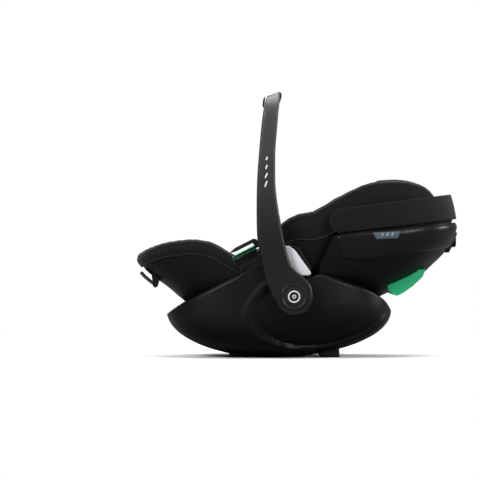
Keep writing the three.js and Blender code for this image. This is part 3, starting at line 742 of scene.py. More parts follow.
def makeCover():
    s = coverShape
    rho = rhoSteps(84)[:, None]
    plain = bowl(allTurns, rho, s["inside"])
    fade = 1 - smoothStep(0.93, 1, rho)
    normal = unit(np.cross(np.gradient(plain, axis=1), np.gradient(plain, axis=0)))
    normal *= np.sign(normal[..., 2:] + 1e-9)
    puckers = 0.35 * np.sin(allTurns * 46 + 3 * np.sin(allTurns * 5)) * np.exp(-((rho - 0.9) / 0.06) ** 2)
    sink = (seamPush(plain, s["inside"]) * fade + puckers + 0.4)[..., None]
    inside = plain - normal * np.where(rho[..., None] < 0.02, 0.5, sink)
    inEdge, outEdge = inside[-1], bowl(allTurns, np.ones_like(allTurns), s["outside"])
    turns = np.linspace(0, math.pi, 16)[1:-1, None, None]
    middle, reach = (inEdge + outEdge) / 2, (inEdge - outEdge) / 2
    wave = 0.5 * np.sin(allTurns * 60)[None, :, None]
    roll = middle + reach * np.cos(turns) + np.array([0, 0, 1.0]) * (s["rollHigh"] - 1 + wave) * np.sin(turns)
    # outside, the skirt hangs deeper round the head, and puffs out a little between the rim and its hem
    share = np.linspace(0, 1, 18)[:, None]
    longest = s["hem"] + (s["headHem"] - s["hem"]) * smoothStep(-70, 50, bucket["head"] * np.cos(allTurns))
    depths = 0.5 + (longest - 0.5) * share
    turned = np.broadcast_to(allTurns, depths.shape)
    hem = bowlDown(turned, depths, s["outside"] + 0.2 - s["puff"] * np.sin(math.pi * share))
    back = bowlDown(turned, depths[::-1] - 0.4, -0.5)
    over = bowl(allTurns, np.ones((2, 1)), np.array([[-0.4], [4.4]]), 0.6)
    under = bowl(allTurns, rhoSteps(30)[::-1, None], 4.5)
    cover = gridMesh("cover", np.concatenate([inside, roll, hem, back, over, under]), wrapColumns=True)
    settle(cover, "cover", "cover_fabric", "bucket", "seat_cover")
    x = np.linspace(-300, 130, 200)
    rows = [planLine(x, side * (seamAside * seatHalf(x, s["inside"]) + gap))
            for side in (-1, 1) for gap in (-6, 6)]
    for seam in seamsAcross[:2]:
        y = np.linspace(-0.56, 0.56, 100) * seatHalf(np.array(seam), s["inside"])
        rows += [planLine(seam + 16 * (y / 150) ** 2 + gap, y) for gap in (-6, 6)]
    threadsOn("cover", cover, rows, "bucket")
    # piping sewn along the hem and round the rim's inner edge
    for name, line in (("hem piping", hem[-1]), ("rim piping", (roll[4] + [0, 0, 0.4]))):
        ringPipe(name, line, 1.7)


def ringPipe(name, line, radius, paint="piping", slotName="cover_fabric", body="bucket"):
    # a thin round tube along a closed line
    along = unit(np.roll(line, -1, 0) - np.roll(line, 1, 0))
    first = unit(np.cross(along, np.array([0, 0, 1.0])))
    second = np.cross(along, first)
    turns = np.linspace(0, 2 * math.pi, 8, endpoint=False)
    tube = line[:, None] + radius * (np.cos(turns)[:, None] * first[:, None]
                                    + np.sin(turns)[:, None] * second[:, None])
    return settle(gridMesh(name, tube, wrapColumns=True, wrapRows=True), paint, slotName, body)


makeTub()
makeCover()

print("cushions")


def puffed(obj, pressure=4.0, cap=6.0, voxel=5.0, frames=20):
    # fills a closed shape like a stuffed cushion with the cloth solver, and holds each point within `cap` mm
    remesh = obj.modifiers.new("remesh", "REMESH")
    remesh.mode, remesh.voxel_size = "VOXEL", voxel * mm
    evaluated(obj)
    rest = np.zeros(len(obj.data.vertices) * 3)
    obj.data.vertices.foreach_get("co", rest)
    rest = rest.reshape(-1, 3)
    cloth = obj.modifiers.new("stuffing", "CLOTH")
    settings = cloth.settings
    settings.quality, settings.use_pressure, settings.uniform_pressure_force = 4, True, pressure
    settings.effector_weights.gravity = 0
    settings.tension_stiffness = settings.compression_stiffness = 12
    settings.bending_stiffness = 0.6
    cloth.collision_settings.use_collision = False
    cloth.point_cache.frame_start, cloth.point_cache.frame_end = 1, frames
    scene = bpy.context.scene
    for step in range(1, frames + 1):
        scene.frame_set(step)
    bpy.context.view_layer.update()
    made = bpy.data.meshes.new_from_object(obj.evaluated_get(bpy.context.evaluated_depsgraph_get()))
    obj.modifiers.clear()
    scene.frame_set(1)
    moved = np.zeros(len(made.vertices) * 3)
    made.vertices.foreach_get("co", moved)
    shift = moved.reshape(-1, 3) - rest
    length = np.linalg.norm(shift, axis=1, keepdims=True)
    held = rest + shift * np.minimum(1, cap * mm / np.maximum(length, 1e-9))
    made.vertices.foreach_set("co", held.ravel())
    obj.data = made
    return evaluated(obj, 1)


def reshape(obj, change):
    # moves every vertex by a function of its place in millimetres
    count = len(obj.data.vertices)
    place = np.zeros(count * 3)
    obj.data.vertices.foreach_get("co", place)
    place = place.reshape(-1, 3) / mm
    normals = np.zeros(count * 3)
    obj.data.vertices.foreach_get("normal", normals)
    obj.data.vertices.foreach_set("co", (change(place, normals.reshape(-1, 3)) * mm).ravel())
    obj.data.update()
    return finishMesh(obj, 60, outward=False)


insertShape = {"x": -27, "long": 109, "wide": 113, "corner": 4.5, "top": 31.0, "under": 18.3}


def makeInsert():
    # a cushion lying in the bucket: rounded-rectangle plan, two faces that meet at a soft edge
    s = insertShape
    turn = allTurns[None, :]
    rho = np.sin(np.linspace(0, math.pi / 2, 40))[:, None]
    x = s["x"] + s["long"] * np.sign(np.cos(turn)) * np.abs(np.cos(turn)) ** (2 / s["corner"]) * rho
    y = s["wide"] * np.sign(np.sin(turn)) * np.abs(np.sin(turn)) ** (2 / s["corner"]) * rho
    thick = (1 - rho**8) ** 0.5
    middle = (s["top"] + s["under"]) / 2
    half = (s["top"] - s["under"]) / 2

    def face(sign):
        return np.stack([x + 0 * y, y + 0 * x, floorHeight(x, y, middle + sign * half * thick)], -1)

    insert = gridMesh("insert cushion", np.concatenate([face(1), face(-1)[-2::-1]]), wrapColumns=True)
    puffed(insert, 3.0, 4.0)

    def quilt(place, normals):
        # channels: one down the middle, two beside it, three across, each a narrow valley
        px, py = place[:, 0], np.abs(place[:, 1])
        gap = np.minimum(py, np.abs(py - 62 - 8 * np.cos(px / 60)))
        for across in (-92, -27, 38):
            gap = np.minimum(gap, np.abs(px - across - 6 * np.cos(py / 40)) + np.where(py > 62, 30, 0))
        depth = 3.4 * np.exp(-((gap / 2.6) ** 2)) + 1.4 * np.exp(-((gap / 12) ** 2))
        return place - normals * (depth * (normals[:, 2] > 0.1))[:, None]

    reshape(insert, quilt)
    cos, sin = np.cos(allTurns), np.sin(allTurns)
    border = planLine(s["x"] + 0.9 * s["long"] * np.sign(cos) * np.abs(cos) ** (2 / s["corner"]),
                      0.9 * s["wide"] * np.sign(sin) * np.abs(sin) ** (2 / s["corner"]))
    threadsOn("insert", insert, [border], "bucket")
    ringPipe("insert piping", face(0)[-1], 1.7, "piping", "padded_fabric")
    settle(insert, "padding", "padded_fabric", "bucket", "infant_insert")


headShape = {"outer": 20.5, "inner": 42.0, "from": 141.0, "rise": 62.0, "wing": 1.06, "high": 8.0}


def makeHeadrest():
    # a padded horseshoe that follows the bucket's head end: inner face, rolled top, outer face,
    # rolled lower edge
    s = headShape
    angles = np.linspace(-1, 1, 130) * s["wing"]
    lowest = s["from"] + s["rise"] * np.abs(angles / s["wing"]) ** 5

    def patch(inset, share, rise):
        cos = np.cos(angles)
        full = (bucket["head"] - inset) * cos ** (2 / 2.7)
        start = np.clip(lowest / np.maximum(full, 1), 0.02, 0.97)
        return bowl(angles, start + (1 - start) * share, inset, rise)

    share = rhoSteps(26)[:, None]
    inner = patch(s["inner"], share, s["high"] * smoothStep(0.3, 1, share))
    outer = patch(s["outer"], share, s["high"] * smoothStep(0.3, 1, share))

    def joined(a, b, lift):
        turns = np.linspace(0, math.pi, 8)[1:-1, None, None]
        return (a + b) / 2 + (a - b) / 2 * np.cos(turns) + lift * np.sin(turns)

    top = joined(inner[-1], outer[-1], np.array([0, 0, 5.0]))
    low = joined(outer[0], inner[0], np.array([-4.0, 0, -1.0]))
    loop = np.concatenate([inner, top, outer[::-1], low])
    ends = [np.broadcast_to(loop[:, k].mean(0), (loop.shape[0], 1, 3)) for k in (0, -1)]
    closed = np.concatenate([ends[0], loop, ends[1]], 1)
    headrest = gridMesh("headrest cushion", closed, wrapRows=True)
    puffed(headrest, 3.0, 3.5)

    def sewn(place, normals):
        # two seams that part the wings from the middle, and one round the inside under the rim
        px, py, pz = place.T
        gap = np.abs(np.abs(py) - 78 + (px - 230) * 0.25)
        gap = np.minimum(gap, np.abs(pz - seatRim(px) + 34))
        depth = 3.0 * np.exp(-((gap / 2.8) ** 2)) + 1.2 * np.exp(-((gap / 12) ** 2))
        inward = -normals[:, 0] * px / 250 - normals[:, 1] * py / 150 + normals[:, 2] * 0.3 > 0
        return place - normals * (depth * inward)[:, None]

    reshape(headrest, sewn)
    x = np.linspace(205, 296, 60)
    rows = [planLine(x, side * (78 - 0.25 * (x - 230) + gap)) for side in (-1, 1) for gap in (-5, 5)]
    threadsOn("headrest", headrest, rows, "headrest")
    settle(headrest, "padding", "padded_fabric", "headrest", "headrest")


shoulderY = throughPoints([[-24, 22], [24, 32], [72, 37], [136, 40]])


def shoulderLine(stations, side, rise=10.4):
    x = np.asarray(stations, float)
    y = shoulderY(x)
    return np.stack([x, side * y, floorHeight(x, y + 24, 33) + rise], 1)


def strapMesh(name, path, width, thickness, count=60, up=None):
    # webbing: a flat rounded profile carried along the path, its ends closed
    line = resample(path, count)
    across, out = strapFrames(line, up)
    profile = roundedProfile(width, thickness, thickness * 0.45, 3)
    ends = np.concatenate([[0], np.ones(count), [0]])
    grow = lambda v: np.concatenate([v[:1], v, v[-1:]])
    return carried(name, grow(line), profile, grow(across), grow(out), ends)


def makeHarness():
    for name, side in (("left", -1), ("right", 1)):
        line = shoulderLine(np.linspace(135, -22, 24), side)
        web = strapMesh("shoulder webbing " + name, line, 35, 1.8, 90)
        dress(web, "web")
        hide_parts("shoulder_strap_" + name)
        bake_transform(web)
        pad = padMesh("shoulder cushion " + name, shoulderLine(np.linspace(122, 26, 20), side), 47, 14)
        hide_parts("shoulder_pad_" + name)
        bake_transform(pad)
        y = np.linspace(42, 91, 14)
        sink = 9 * smoothStep(68, 91, y)  # its outer end goes down between the cushion and the side
        lap = np.stack([-36 + 0 * y, side * y, floorHeight(-36 + 0 * y, y + 7, 33) + 5.5 - sink], 1)
        belt = strapMesh("lap webbing " + name, lap, 23, 1.8, 40, np.array([0, -0.25 * side, 1.0]))
        settle(belt, "web", "webbing", "bucket", "lap_strap_" + name)
    x = np.array([-123.5, -119, -110, -100, -89, -83])
    crotch = np.stack([x, 0 * x, floorHeight(x, 26 + 0 * x, 33) + 9], 1)
    # its front end goes into the cushion
    sunk = crotch - np.outer(12 * smoothStep(-117, -123.5, x), [0, 0, 1])
    settle(strapMesh("crotch webbing", sunk, 37, 1.8, 30), "web", "webbing", "bucket", "crotch_strap")
    pad = padMesh("crotch cushion", crotch[1:5], 50, 10)
    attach(pad, "bucket")
    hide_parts("crotch_pad")
    x = np.array([-204.0, -226, -246, -266, -286])
    pull = np.stack([x, 0 * x, floorHeight(x, 24 + 0 * x, 16.5) + 4.4 - 6 * smoothStep(-262, -286, x)], 1)
    settle(strapMesh("adjuster webbing", pull, 24, 2.0, 40), "web", "webbing", "bucket", "adjuster_strap")


def padMesh(name, path, width, thickness):
    # a padded sleeve: crowned profile, pulled in at its sewn ends, with a flat sewn border on each side
    line = resample(path, 60)
    across, out = strapFrames(line)
    turns = np.linspace(0, 2 * math.pi, 40, endpoint=False)
    cos, sin = np.cos(turns), np.sin(turns)
    profile = np.stack([width / 2 * np.sign(cos) * np.abs(cos) ** 0.7,
                        thickness / 2 * np.sign(sin) * np.abs(sin) ** 0.75
                         * (1 - 0.62 * np.abs(cos) ** 9)], 1)
    t = np.linspace(0, 1, 60)
    size = np.minimum(1, np.minimum(t, 1 - t) * 14 + 0.05) ** 0.35
    size[0] = size[-1] = 0
    pad = carried(name, line, profile, across, out, size)
    puffed(pad, 2.0, 1.2, 3.0)
    return dress(pad, "padding")


makeInsert()
makeHeadrest()
makeHarness()

print("outer back shell")


def backPlace(x, angle, inset, drop, reachShare):
    # a point of the half-elliptic section at x; angle runs from one top edge under the shell to the other
    reach = backShape["head"] - inset
    share = np.clip((x - backShape["bend"]) / (reach - backShape["bend"]), 0, 1)
    half = (backShape["half"] - inset) * (1 - share**3) ** (1 / 3)
    top = backTop(x) - drop
    profileX = backShape["front"] + (x - backShape["front"]) * reachShare
    low = np.minimum(backBottom(profileX) + inset, top - 0.5)
    return np.stack([x, half * np.cos(angle), top + (top - low) * np.sin(angle)], -1)


frontLine = throughPoints([[60, 62.5], [205, 46.5], [206, 46.7], [273, 76.2], [274, 76.5], [320, 77]])


def backGrid(inset, drop, rows=110, columns=120):
    reach = backShape["head"] - inset
    shareOut = (backShape["head"] - backShape["front"]) / (reach - backShape["front"])
    angle = np.linspace(math.pi, 2 * math.pi, columns)
    start = np.full(columns, 60.0)
    for _ in range(12):
        start = frontLine(backPlace(start, angle, inset, drop, shareOut)[:, 2])
    u = np.sin(np.linspace(0, math.pi / 2, rows))[:, None]
    x = start + (reach - start) * u
    return backPlace(x, np.broadcast_to(angle, x.shape), inset, drop, shareOut)


def bandGrid(inset, drop, lowLine, topGap, startX, endHalf, side, rows=40, columns=130):
    # a patch of the back shell moved out: x from the front edge round to the rear, height between two lines
    reach = backShape["head"] - inset
    shareOut = (backShape["head"] - backShape["front"]) / (reach - backShape["front"])
    end = (backShape["bend"] + (reach - backShape["bend"])
           * (1 - (endHalf / (backShape["half"] - inset)) ** 3) ** (1 / 3))
    u = np.sin(np.linspace(0, math.pi / 2, columns)) if endHalf < 100 else np.linspace(0, 1, columns)
    v = np.linspace(0, 1, rows)[:, None]
    lean = startX(v) if callable(startX) else startX
    x = lean + (end - lean) * u
    top = backTop(x) - drop
    high = top - topGap
    z = lowLine(x) + (high - lowLine(x)) * v
    share = np.clip((x - backShape["bend"]) / (reach - backShape["bend"]), 0, 1)
    half = (backShape["half"] - inset) * (1 - share**3) ** (1 / 3)
    low = np.minimum(backBottom(backShape["front"] + (x - backShape["front"]) * shareOut) + inset, top - 0.5)
    y = half * np.sqrt(np.maximum(0, 1 - np.clip((top - z) / (top - low), 0, 1) ** 2))
    return np.stack([x, side * y, z], -1)


def edged(inset, shape, roundOff):
    # brings a raised patch down towards the shell at its borders, so that its edge is rounded
    rows, columns = shape
    v, u = np.linspace(0, 1, rows)[:, None], np.linspace(0, 1, columns)[None, :]
    edge = np.minimum(np.minimum(v, 1 - v) * rows * 0.4, np.minimum(u, 1 - u) * columns * 0.7)
    lift = np.sqrt(1 - (1 - np.clip(edge / roundOff, 0, 1)) ** 2)
    return inset * (0.25 + 0.75 * lift)


def makeBack():
    shell = wallMesh("outer back shell", backGrid(0, 0), backGrid(backShape["wall"], 0.02))
    settle(shell, "shell", "shell_plastic", "bucket", "back_shell")
    lowLine = throughPoints([[86, 226], [100, 225], [130, 222.2], [250, 237], [372, 252]])
    startX = lambda v: 100 - 13 * v
    for name, side in (("left", -1), ("right", 1)):
        raised = bandGrid(edged(-3.6, (40, 130), 3.0), 3.0, lowLine, 0.6, startX, 34.5, side)
        flush = bandGrid(-0.5, 3.0, lowLine, 0.6, startX, 34.5, side)
        panel = wallMesh("side wing " + name, raised, flush)
        settle(panel, "panel", "handle_plastic", "bucket", "side_panel_" + name)
        makeTag(name, side)


def makeTag(name, side):
    rows, columns = 24, 60
    low = throughPoints([[160, 268], [235, 271.6]])
    v = np.linspace(0, 1, rows)[:, None]
    u = np.linspace(0, 1, columns)[None, :]
    startX, endX = 174.5 - 8.5 * v, 222.5 + 6 * v
    x = startX + (endX - startX) * u
    z = low(x) + 15 * v
    faces = []
    for inset in (edged(-4.9, (rows, columns), 2.0), -4.05):
        reach = backShape["head"] - inset
        share = np.clip((x - backShape["bend"]) / (reach - backShape["bend"]), 0, 1)
        half = (backShape["half"] - inset) * (1 - share**3) ** (1 / 3)
        top = backTop(x) - 3
        bottom = backBottom(x) + inset
        y = half * np.sqrt(np.maximum(0, 1 - ((top - z) / (top - bottom)) ** 2))
        faces.append(np.stack([x, side * y, z], -1))
    tag = wallMesh("side label " + name, *faces)
    settle(tag, "label", "label_fabric", "bucket", "side_tag_" + name)
    tree = BVHTree.FromObject(tag, bpy.context.evaluated_depsgraph_get())
    for k in range(3):
        # a plain woven mark: three short slanted bars that lie on the label
        centre = np.array([188.0 + 11 * k, 0, 278.6 + 0.6 * k])
        start = Vector((centre[0] * mm, side * 0.3, centre[2] * mm))
        depth = abs(tree.ray_cast(start, Vector((0, -side, 0)))[0].y) / mm
        barMark("tag bar %s %d" % (name, k), centre, 6.5, 1.5, side, depth + 0.3, 62, "bucket", taper=1.0)


def barMark(name, centre, length, width, side, depth, slant, body, taper=0.35):
    # a flat printed capsule, standing proud by `taper` at a distance `depth` from the middle plane
    profile = roundedProfile(length, width, width / 2 - 0.02, 8)
    turn = math.radians(slant)
    x = centre[0] + profile[:, 0] * math.cos(turn) - profile[:, 1] * math.sin(turn)
    z = centre[2] + profile[:, 0] * math.sin(turn) + profile[:, 1] * math.cos(turn)
    rows = []
    for size, y in ((0, depth - taper), (1, depth - taper), (0.9, depth), (0, depth)):
        rows.append(np.stack([centre[0] + (x - centre[0]) * size, side * y + 0 * x,
                              centre[2] + (z - centre[2]) * size], 1))
    mark = gridMesh(name, np.stack(rows), wrapColumns=True)
    return settle(mark, "mark", "grey_plastic", body)


makeBack()

print("handle")

armFront = throughPoints([
    [106, -30], [114, -39], [136, -57], [185, -76], [240, -86], [278, -92], [341, -93], [401, -92],
    [476, -87], [532, -82],
    [arm["top"], -75]])
armRear = throughPoints([
    [106, 14], [120, 28], [155, 30.5], [181, 17], [196, -9], [215, -20], [252, -30], [327, -44.5],
    [356, -49], [401, -53],
    [457, -53], [513, -49], [569, -44], [arm["top"], -41]])


def armRings(slim, thick, drop, count, fromZ, corner=4.6, perCorner=6):
    # rounded-rectangle rings up the left arm, round the corner and along to the middle of the crossbar
    middle = (arm["inner"] + arm["outer"]) / 2
    bend = arm["top"] - arm["corner"]
    straight = bend - fromZ
    quarter = arm["corner"] * math.pi / 2
    level = middle - arm["corner"]
    total = straight + quarter + level
    foot = 2 * hub["radius"]
    s = np.concatenate([foot / 2 * (1 - np.cos(np.linspace(0, math.pi, 64))),
                        np.linspace(foot, total, count)[1:]])
    count = len(s)
    lean = np.clip((s - straight) / quarter, 0, 1) * math.pi / 2
    height = np.minimum(fromZ + s, bend)
    z = height + arm["corner"] * np.sin(lean)
    y = -(level + arm["corner"] * np.cos(lean)) + np.maximum(0, s - straight - quarter)
    y = np.minimum(y, 0)
    at = np.minimum(z, arm["top"])
    # the outline averaged over 28 mm of height, so it has no kinks
    window = np.linspace(-14, 14, 15)[:, None]
    front = armFront(np.maximum(at + window, 106)).mean(0)
    rear = armRear(np.maximum(at + window, 106)).mean(0)
    inHub = np.clip(1 - ((z - hub["z"]) / hub["radius"]) ** 2, 0, None) ** 0.5 * hub["radius"]
    nearHub = (lean == 0) & (z < hub["z"] + hub["radius"])
    front = np.where(nearHub, np.minimum(np.where(z < 106, 1e9, front), hub["x"] - inHub), front)
    rear = np.where(nearHub, np.maximum(np.where(z < 106, -1e9, rear), hub["x"] + inHub), rear)
    width = np.maximum(rear - front - 2 * slim, 0.02)
    tilt = math.tan(math.radians(17)) * np.sin(lean) ** 2
    out = np.stack([0 * lean, -np.cos(lean), np.sin(lean)], 1)
    across = np.stack([np.ones(count), 0 * lean, tilt], 1)
    path = np.stack([(front + rear) / 2, y, z - drop], 1)
    quarterTurn = np.concatenate([np.linspace(q, q + 1, perCorner) * math.pi / 2 for q in range(4)])
    sx = np.repeat([1, -1, -1, 1], perCorner)
    st = np.repeat([1, 1, -1, -1], perCorner)
    r = np.minimum(corner, np.minimum(width / 2, thick / 2) * 0.92)[:, None]
    u = sx * (width[:, None] / 2 - r) + r * np.cos(quarterTurn)
    v = st * (thick / 2 - r) + r * np.sin(quarterTurn)
    return path[:, None] + u[..., None] * across[:, None] + v[..., None] * out[:, None]


def cappedRings(rings):
    # rings of points with each end drawn together to its middle
    first, last = (np.broadcast_to(end.mean(0), rings[:1].shape) for end in (rings[0], rings[-1]))
    return np.concatenate([first, rings, last])


def makeHandle():
    rings = armRings(0, arm["outer"] - arm["inner"], 0, 220, 98.05, 5.8, 8)
    keep = rings[:, :, 1].mean(1) < -148
    armLeft = gridMesh("arm moulding left", cappedRings(rings[keep]), wrapColumns=True, sharpAngle=60)
    carve(armLeft, [cylinderMesh("pocket", hub["x"], hub["z"], hub["pocket"], -240, -210.6)])
    armRight = mirroredCopy(armLeft, "arm moulding right")
    settle(armLeft, "handle", "handle_plastic", "handle", "handle_arm_left")
    settle(armRight, "handle", "handle_plastic", "handle", "handle_arm_right")
    for name, slim, thick, drop, reach, paint, slotName, replaced in (
            ("crossbar", 4, 10, 0, 149, "inside", "handle_plastic", "handle_crossbar"),
            ("grip", -4.2, 18.6, 1.5, 112, "grip", "soft_grip", "handle_grip")):
        rings = armRings(slim, thick, drop, 420, 98.05, 7.5, 8)
        half = rings[rings[:, :, 1].mean(1) > -reach]
        flat = half[:, :, 1].mean(1)
        if name == "grip":
            # shallow finger waves, and ends that narrow to the bar
            centre = half.mean(1, keepdims=True)
            ends = np.clip((flat + reach) / 5, 0, 1)[:, None, None]
            size = ((0.72 + 0.28 * np.sqrt(1 - (1 - ends) ** 2))
                    * (1 + 0.02 * np.cos(flat / 5.6)[:, None, None]))
            half = centre + (half - centre) * np.minimum(size, 1)
        other = half[::-1].copy()
        other[:, :, 1] *= -1
        whole = np.concatenate([half, other[1:] if abs(flat[-1]) < 0.5 else other])
        bar = gridMesh("held " + name, cappedRings(whole), wrapColumns=True, sharpAngle=60)
        settle(bar, paint, slotName, "handle", replaced)
    for name, side in (("left", -1), ("right", 1)):
        makeHubButton(name, side)
        for k in range(4):
            # a plain mark on the arm: four short slanted bars, one above the other
            barMark("arm bar %s %d" % (name, k), np.array([-74.0 + 0.6 * k, 0, 392 + 19 * k]),
                    15 - 2.2 * k, 3.6, side,
                    222.25, 68, "handle")


def makeHubButton(name, side):
    # a dished cap with a rounded border and a thin raised ring
    y = np.array([216.6, 216.6, 221.6, 222.6, 223.0, 222.9, 222.0, 221.7, 221.7, 222.1, 222.1, 221.7, 221.5])
    r = np.array([0.0, 30.2, 30.2, 29.6, 28.4, 26.6, 25.0, 23.0, 17.5, 16.8, 15.2, 14.4, 0.0])
    turns = np.linspace(0, 2 * math.pi, 96, endpoint=False)
    rings = [np.stack([hub["x"] + q * np.cos(turns), side * h + 0 * turns, hub["z"] + q * np.sin(turns)], 1)
             for q, h in zip(r, y)]
    cap = gridMesh("handle button cap " + name, np.stack(rings), wrapColumns=True, sharpAngle=50)
    settle(cap, "handle", "handle_plastic", "handle_button_" + name, "handle_button_" + name)
    ring = turnedMesh("button ring " + name, hub["x"], hub["z"],
                      [[13.6, 221.4], [13.6, 222.5], [10.8, 222.5], [10.8, 221.4]], side, 64)
    settle(ring, "mark", "grey_plastic", "handle_button_" + name)
    dot = turnedMesh("button dot " + name, hub["x"], hub["z"],
                     [[0.001, 221.3], [4.6, 221.3], [4.6, 222.3], [0.001, 222.3]], side, 48)
    settle(dot, "mark", "grey_plastic", "handle_button_" + name)


spring = {"turns": 2, "radius": 12.0, "wire": 0.4, "low": 211.5, "high": 215.4, "floor": 211.0, "keep": 0.28}


def makeSpring(name, side):
    # a coil between the button and its pocket's floor
    t = np.linspace(0, 1, 121)
    turn = 2 * math.pi * spring["turns"] * t
    across = side * (spring["low"] + (spring["high"] - spring["low"]) * t)
    outward = np.stack([np.cos(turn), 0 * t, np.sin(turn)], 1)
    path = np.stack([hub["x"] + 0 * t, across, hub["z"] + 0 * t], 1) + spring["radius"] * outward
    sideways = np.broadcast_to(np.array([0, 1.0, 0]), path.shape)
    corners = np.linspace(0, 2 * math.pi, 10, endpoint=False)
    wire = spring["wire"] * np.stack([np.cos(corners), np.sin(corners)], 1)
    coil = carried("spring coil " + name, path, wire, sideways, outward)
    settle(coil, "steel", "steel", "handle", "button_spring_" + name)
    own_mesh(coil)


makeHandle()
makeSpring("left", -1)
makeSpring("right", 1)

print("canopy")


def hoodPlace(along, side, height, inset):
    # along: millimetres in x on the plan curve; height from -1 to 1 over the band; ends rounded at the hinge
    t = (height + 1) / 2
    share = np.minimum(1, (along - hood["start"]) / hood["reach"])
    x = hood["start"] + share * (hood["reach"] - hood["leanBack"] * t - inset)
    y = ((hood["half"] - hood["leanSide"] * t - inset)
         * np.maximum(0, 1 - np.maximum(share, 0) ** 3) ** (1 / 3))
    back = np.clip((hood["x"] - along) / hood["tall"], 0, 1)
    tall = (hood["tall"] * np.sqrt(np.maximum(0, 1 - back**2))
            * np.where(height < 0, 1 + hood["flare"] * share, 1))
    return np.stack([x + 0 * height, side * y,
                     hood["z"] + hood["rise"] * (x - hood["x"]) + tall * height], -1)


def hoodStations(count, fromX):
    # evenly spaced along the plan curve, from one hinge round the head to the other
    fine = np.linspace(0, 1, 4000)
    x = hood["start"] + hood["reach"] * np.sin(fine * math.pi / 2)
    share = (x - hood["start"]) / hood["reach"]
    y = hood["half"] * (1 - share**3) ** (1 / 3)
    inside = x >= fromX
    x, y = x[inside], y[inside]
    length = np.append(0, np.hypot(np.diff(x), np.diff(y)).cumsum())
    halfX = np.interp(np.linspace(0, length[-1], count // 2), length, x)
    return (np.concatenate([halfX, halfX[-2::-1]]),
            np.concatenate([-np.ones(count // 2), np.ones(count // 2 - 1)]))


def makeVisor():
    along, side = hoodStations(241, hood["x"] - hood["tall"] + 0.02)
    turn = np.linspace(0, math.pi, 30)
    outerHeights = -np.cos(turn)
    bulge = 0.9 * (1 - outerHeights**2)
    outerInset = 0.9 - bulge + 0.9 * np.abs(outerHeights) ** 14
    heights = np.concatenate([outerHeights * 0.995, outerHeights[::-1] * 0.985])
    insets = np.concatenate([outerInset, np.full(30, 3.3) - 0.6 * np.abs(outerHeights[::-1]) ** 10])
    grid = hoodPlace(along[:, None], side[:, None], heights[None], insets[None])
    visor = gridMesh("canopy band", grid, wrapColumns=True)
    settle(visor, "hood", "hood_fabric", "canopy_front", "canopy_visor")
    for name, height in (("top", 0.9), ("bottom", -0.9)):
        # a row of small raised stitches near the band's top edge and another near its bottom edge
        line = hoodPlace(along, side, np.full_like(along, height), 0.35 + 0 * along)[6:-6]
        stitches("band stitches " + name, line, 0.45, 3.2, "canopy_front", "hood_fabric", "piping")
    for name, sign in (("left", -1), ("right", 1)):
        profile = [[0.001, 196.9], [11.8, 196.9], [11.8, 185.8], [8.6, 185.8], [8.6, 196.2], [0.001, 196.2]]
        boss = turnedMesh("canopy hinge boss " + name, hood["x"], hood["z"], profile, sign, 40)
        settle(boss, "inside", "shell_plastic", "canopy_front")


pleatShape = {"count": 22, "deep": [5.2, 13.6], "high": 0.76, "from": 113.0, "thick": 0.4,
              "tuck": 11.5, "under": 7}


def makeHood():
    # one sheet folded in pleats: the inset swings in and out while the height climbs
    s = pleatShape
    along, side = hoodStations(221, s["from"])
    rowsPerPleat = 4
    t = np.linspace(0, 1, s["count"] * rowsPerPleat + 1)
    even = np.linspace(0, 1, 400)
    spread = np.interp(t, even * even * (3 - 2 * even), even)
    height = s["high"] * (2 * spread - 1)
    swing = 0.5 - 0.5 * np.cos(t * s["count"] * math.pi)
    deep = s["deep"][0] + (s["deep"][1] - s["deep"][0]) * swing
    pleats = hoodPlace(along[None], side[None], height[:, None], deep[:, None])
    # under the pleats the sheet runs down inside the back shell's edge
    low = np.linspace(0, 1, 8)[:-1, None]
    skirt = hoodPlace(along[None], side[None], height[:1, None] + 0 * low,
                      s["tuck"] + (s["deep"][0] - s["tuck"]) * low**2)
    skirt[..., 2] -= (1 - low) * (skirt[..., 2] - backTop(skirt[..., 0]) + s["under"])
    sheet = np.concatenate([skirt, pleats])
    normal = unit(np.cross(np.gradient(sheet, axis=0), np.gradient(sheet, axis=1)))
    hoodSheet = wallMesh("canopy hood", sheet + normal * s["thick"] / 2, sheet - normal * s["thick"] / 2, 70)
    dress(hoodSheet, "hood")
    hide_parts("canopy_fabric")
    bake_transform(hoodSheet)


def makeBow():
    along, side = hoodStations(161, hood["x"] - 2)
    line = hoodPlace(along, side, 0 * along, 17 + 0 * along)
    across, out = strapFrames(line, np.array([0, 0, 1.0]))
    turns = np.linspace(0, 2 * math.pi, 14, endpoint=False)
    profile = 2.15 * np.stack([np.cos(turns), np.sin(turns)], 1)
    sizes = np.ones(len(line))
    sizes[0] = sizes[-1] = 0
    settle(carried("middle bow", line, profile, across, out, sizes),
           "steel", "steel", "canopy_middle", "canopy_mid_bow")
    for name, sign in (("left", -1), ("right", 1)):
        profile = [[8.5, 180.8], [11.2, 180.8], [11.9, 181.4], [11.9, 184.4], [11.2, 185.0], [8.5, 185.0]]
        eye = turnedMesh("bow eye " + name, hood["x"], hood["z"], profile, sign, 48)
        settle(eye, "steel", "steel", "canopy_middle")


makeVisor()
makeHood()
makeBow()

print("small pieces")

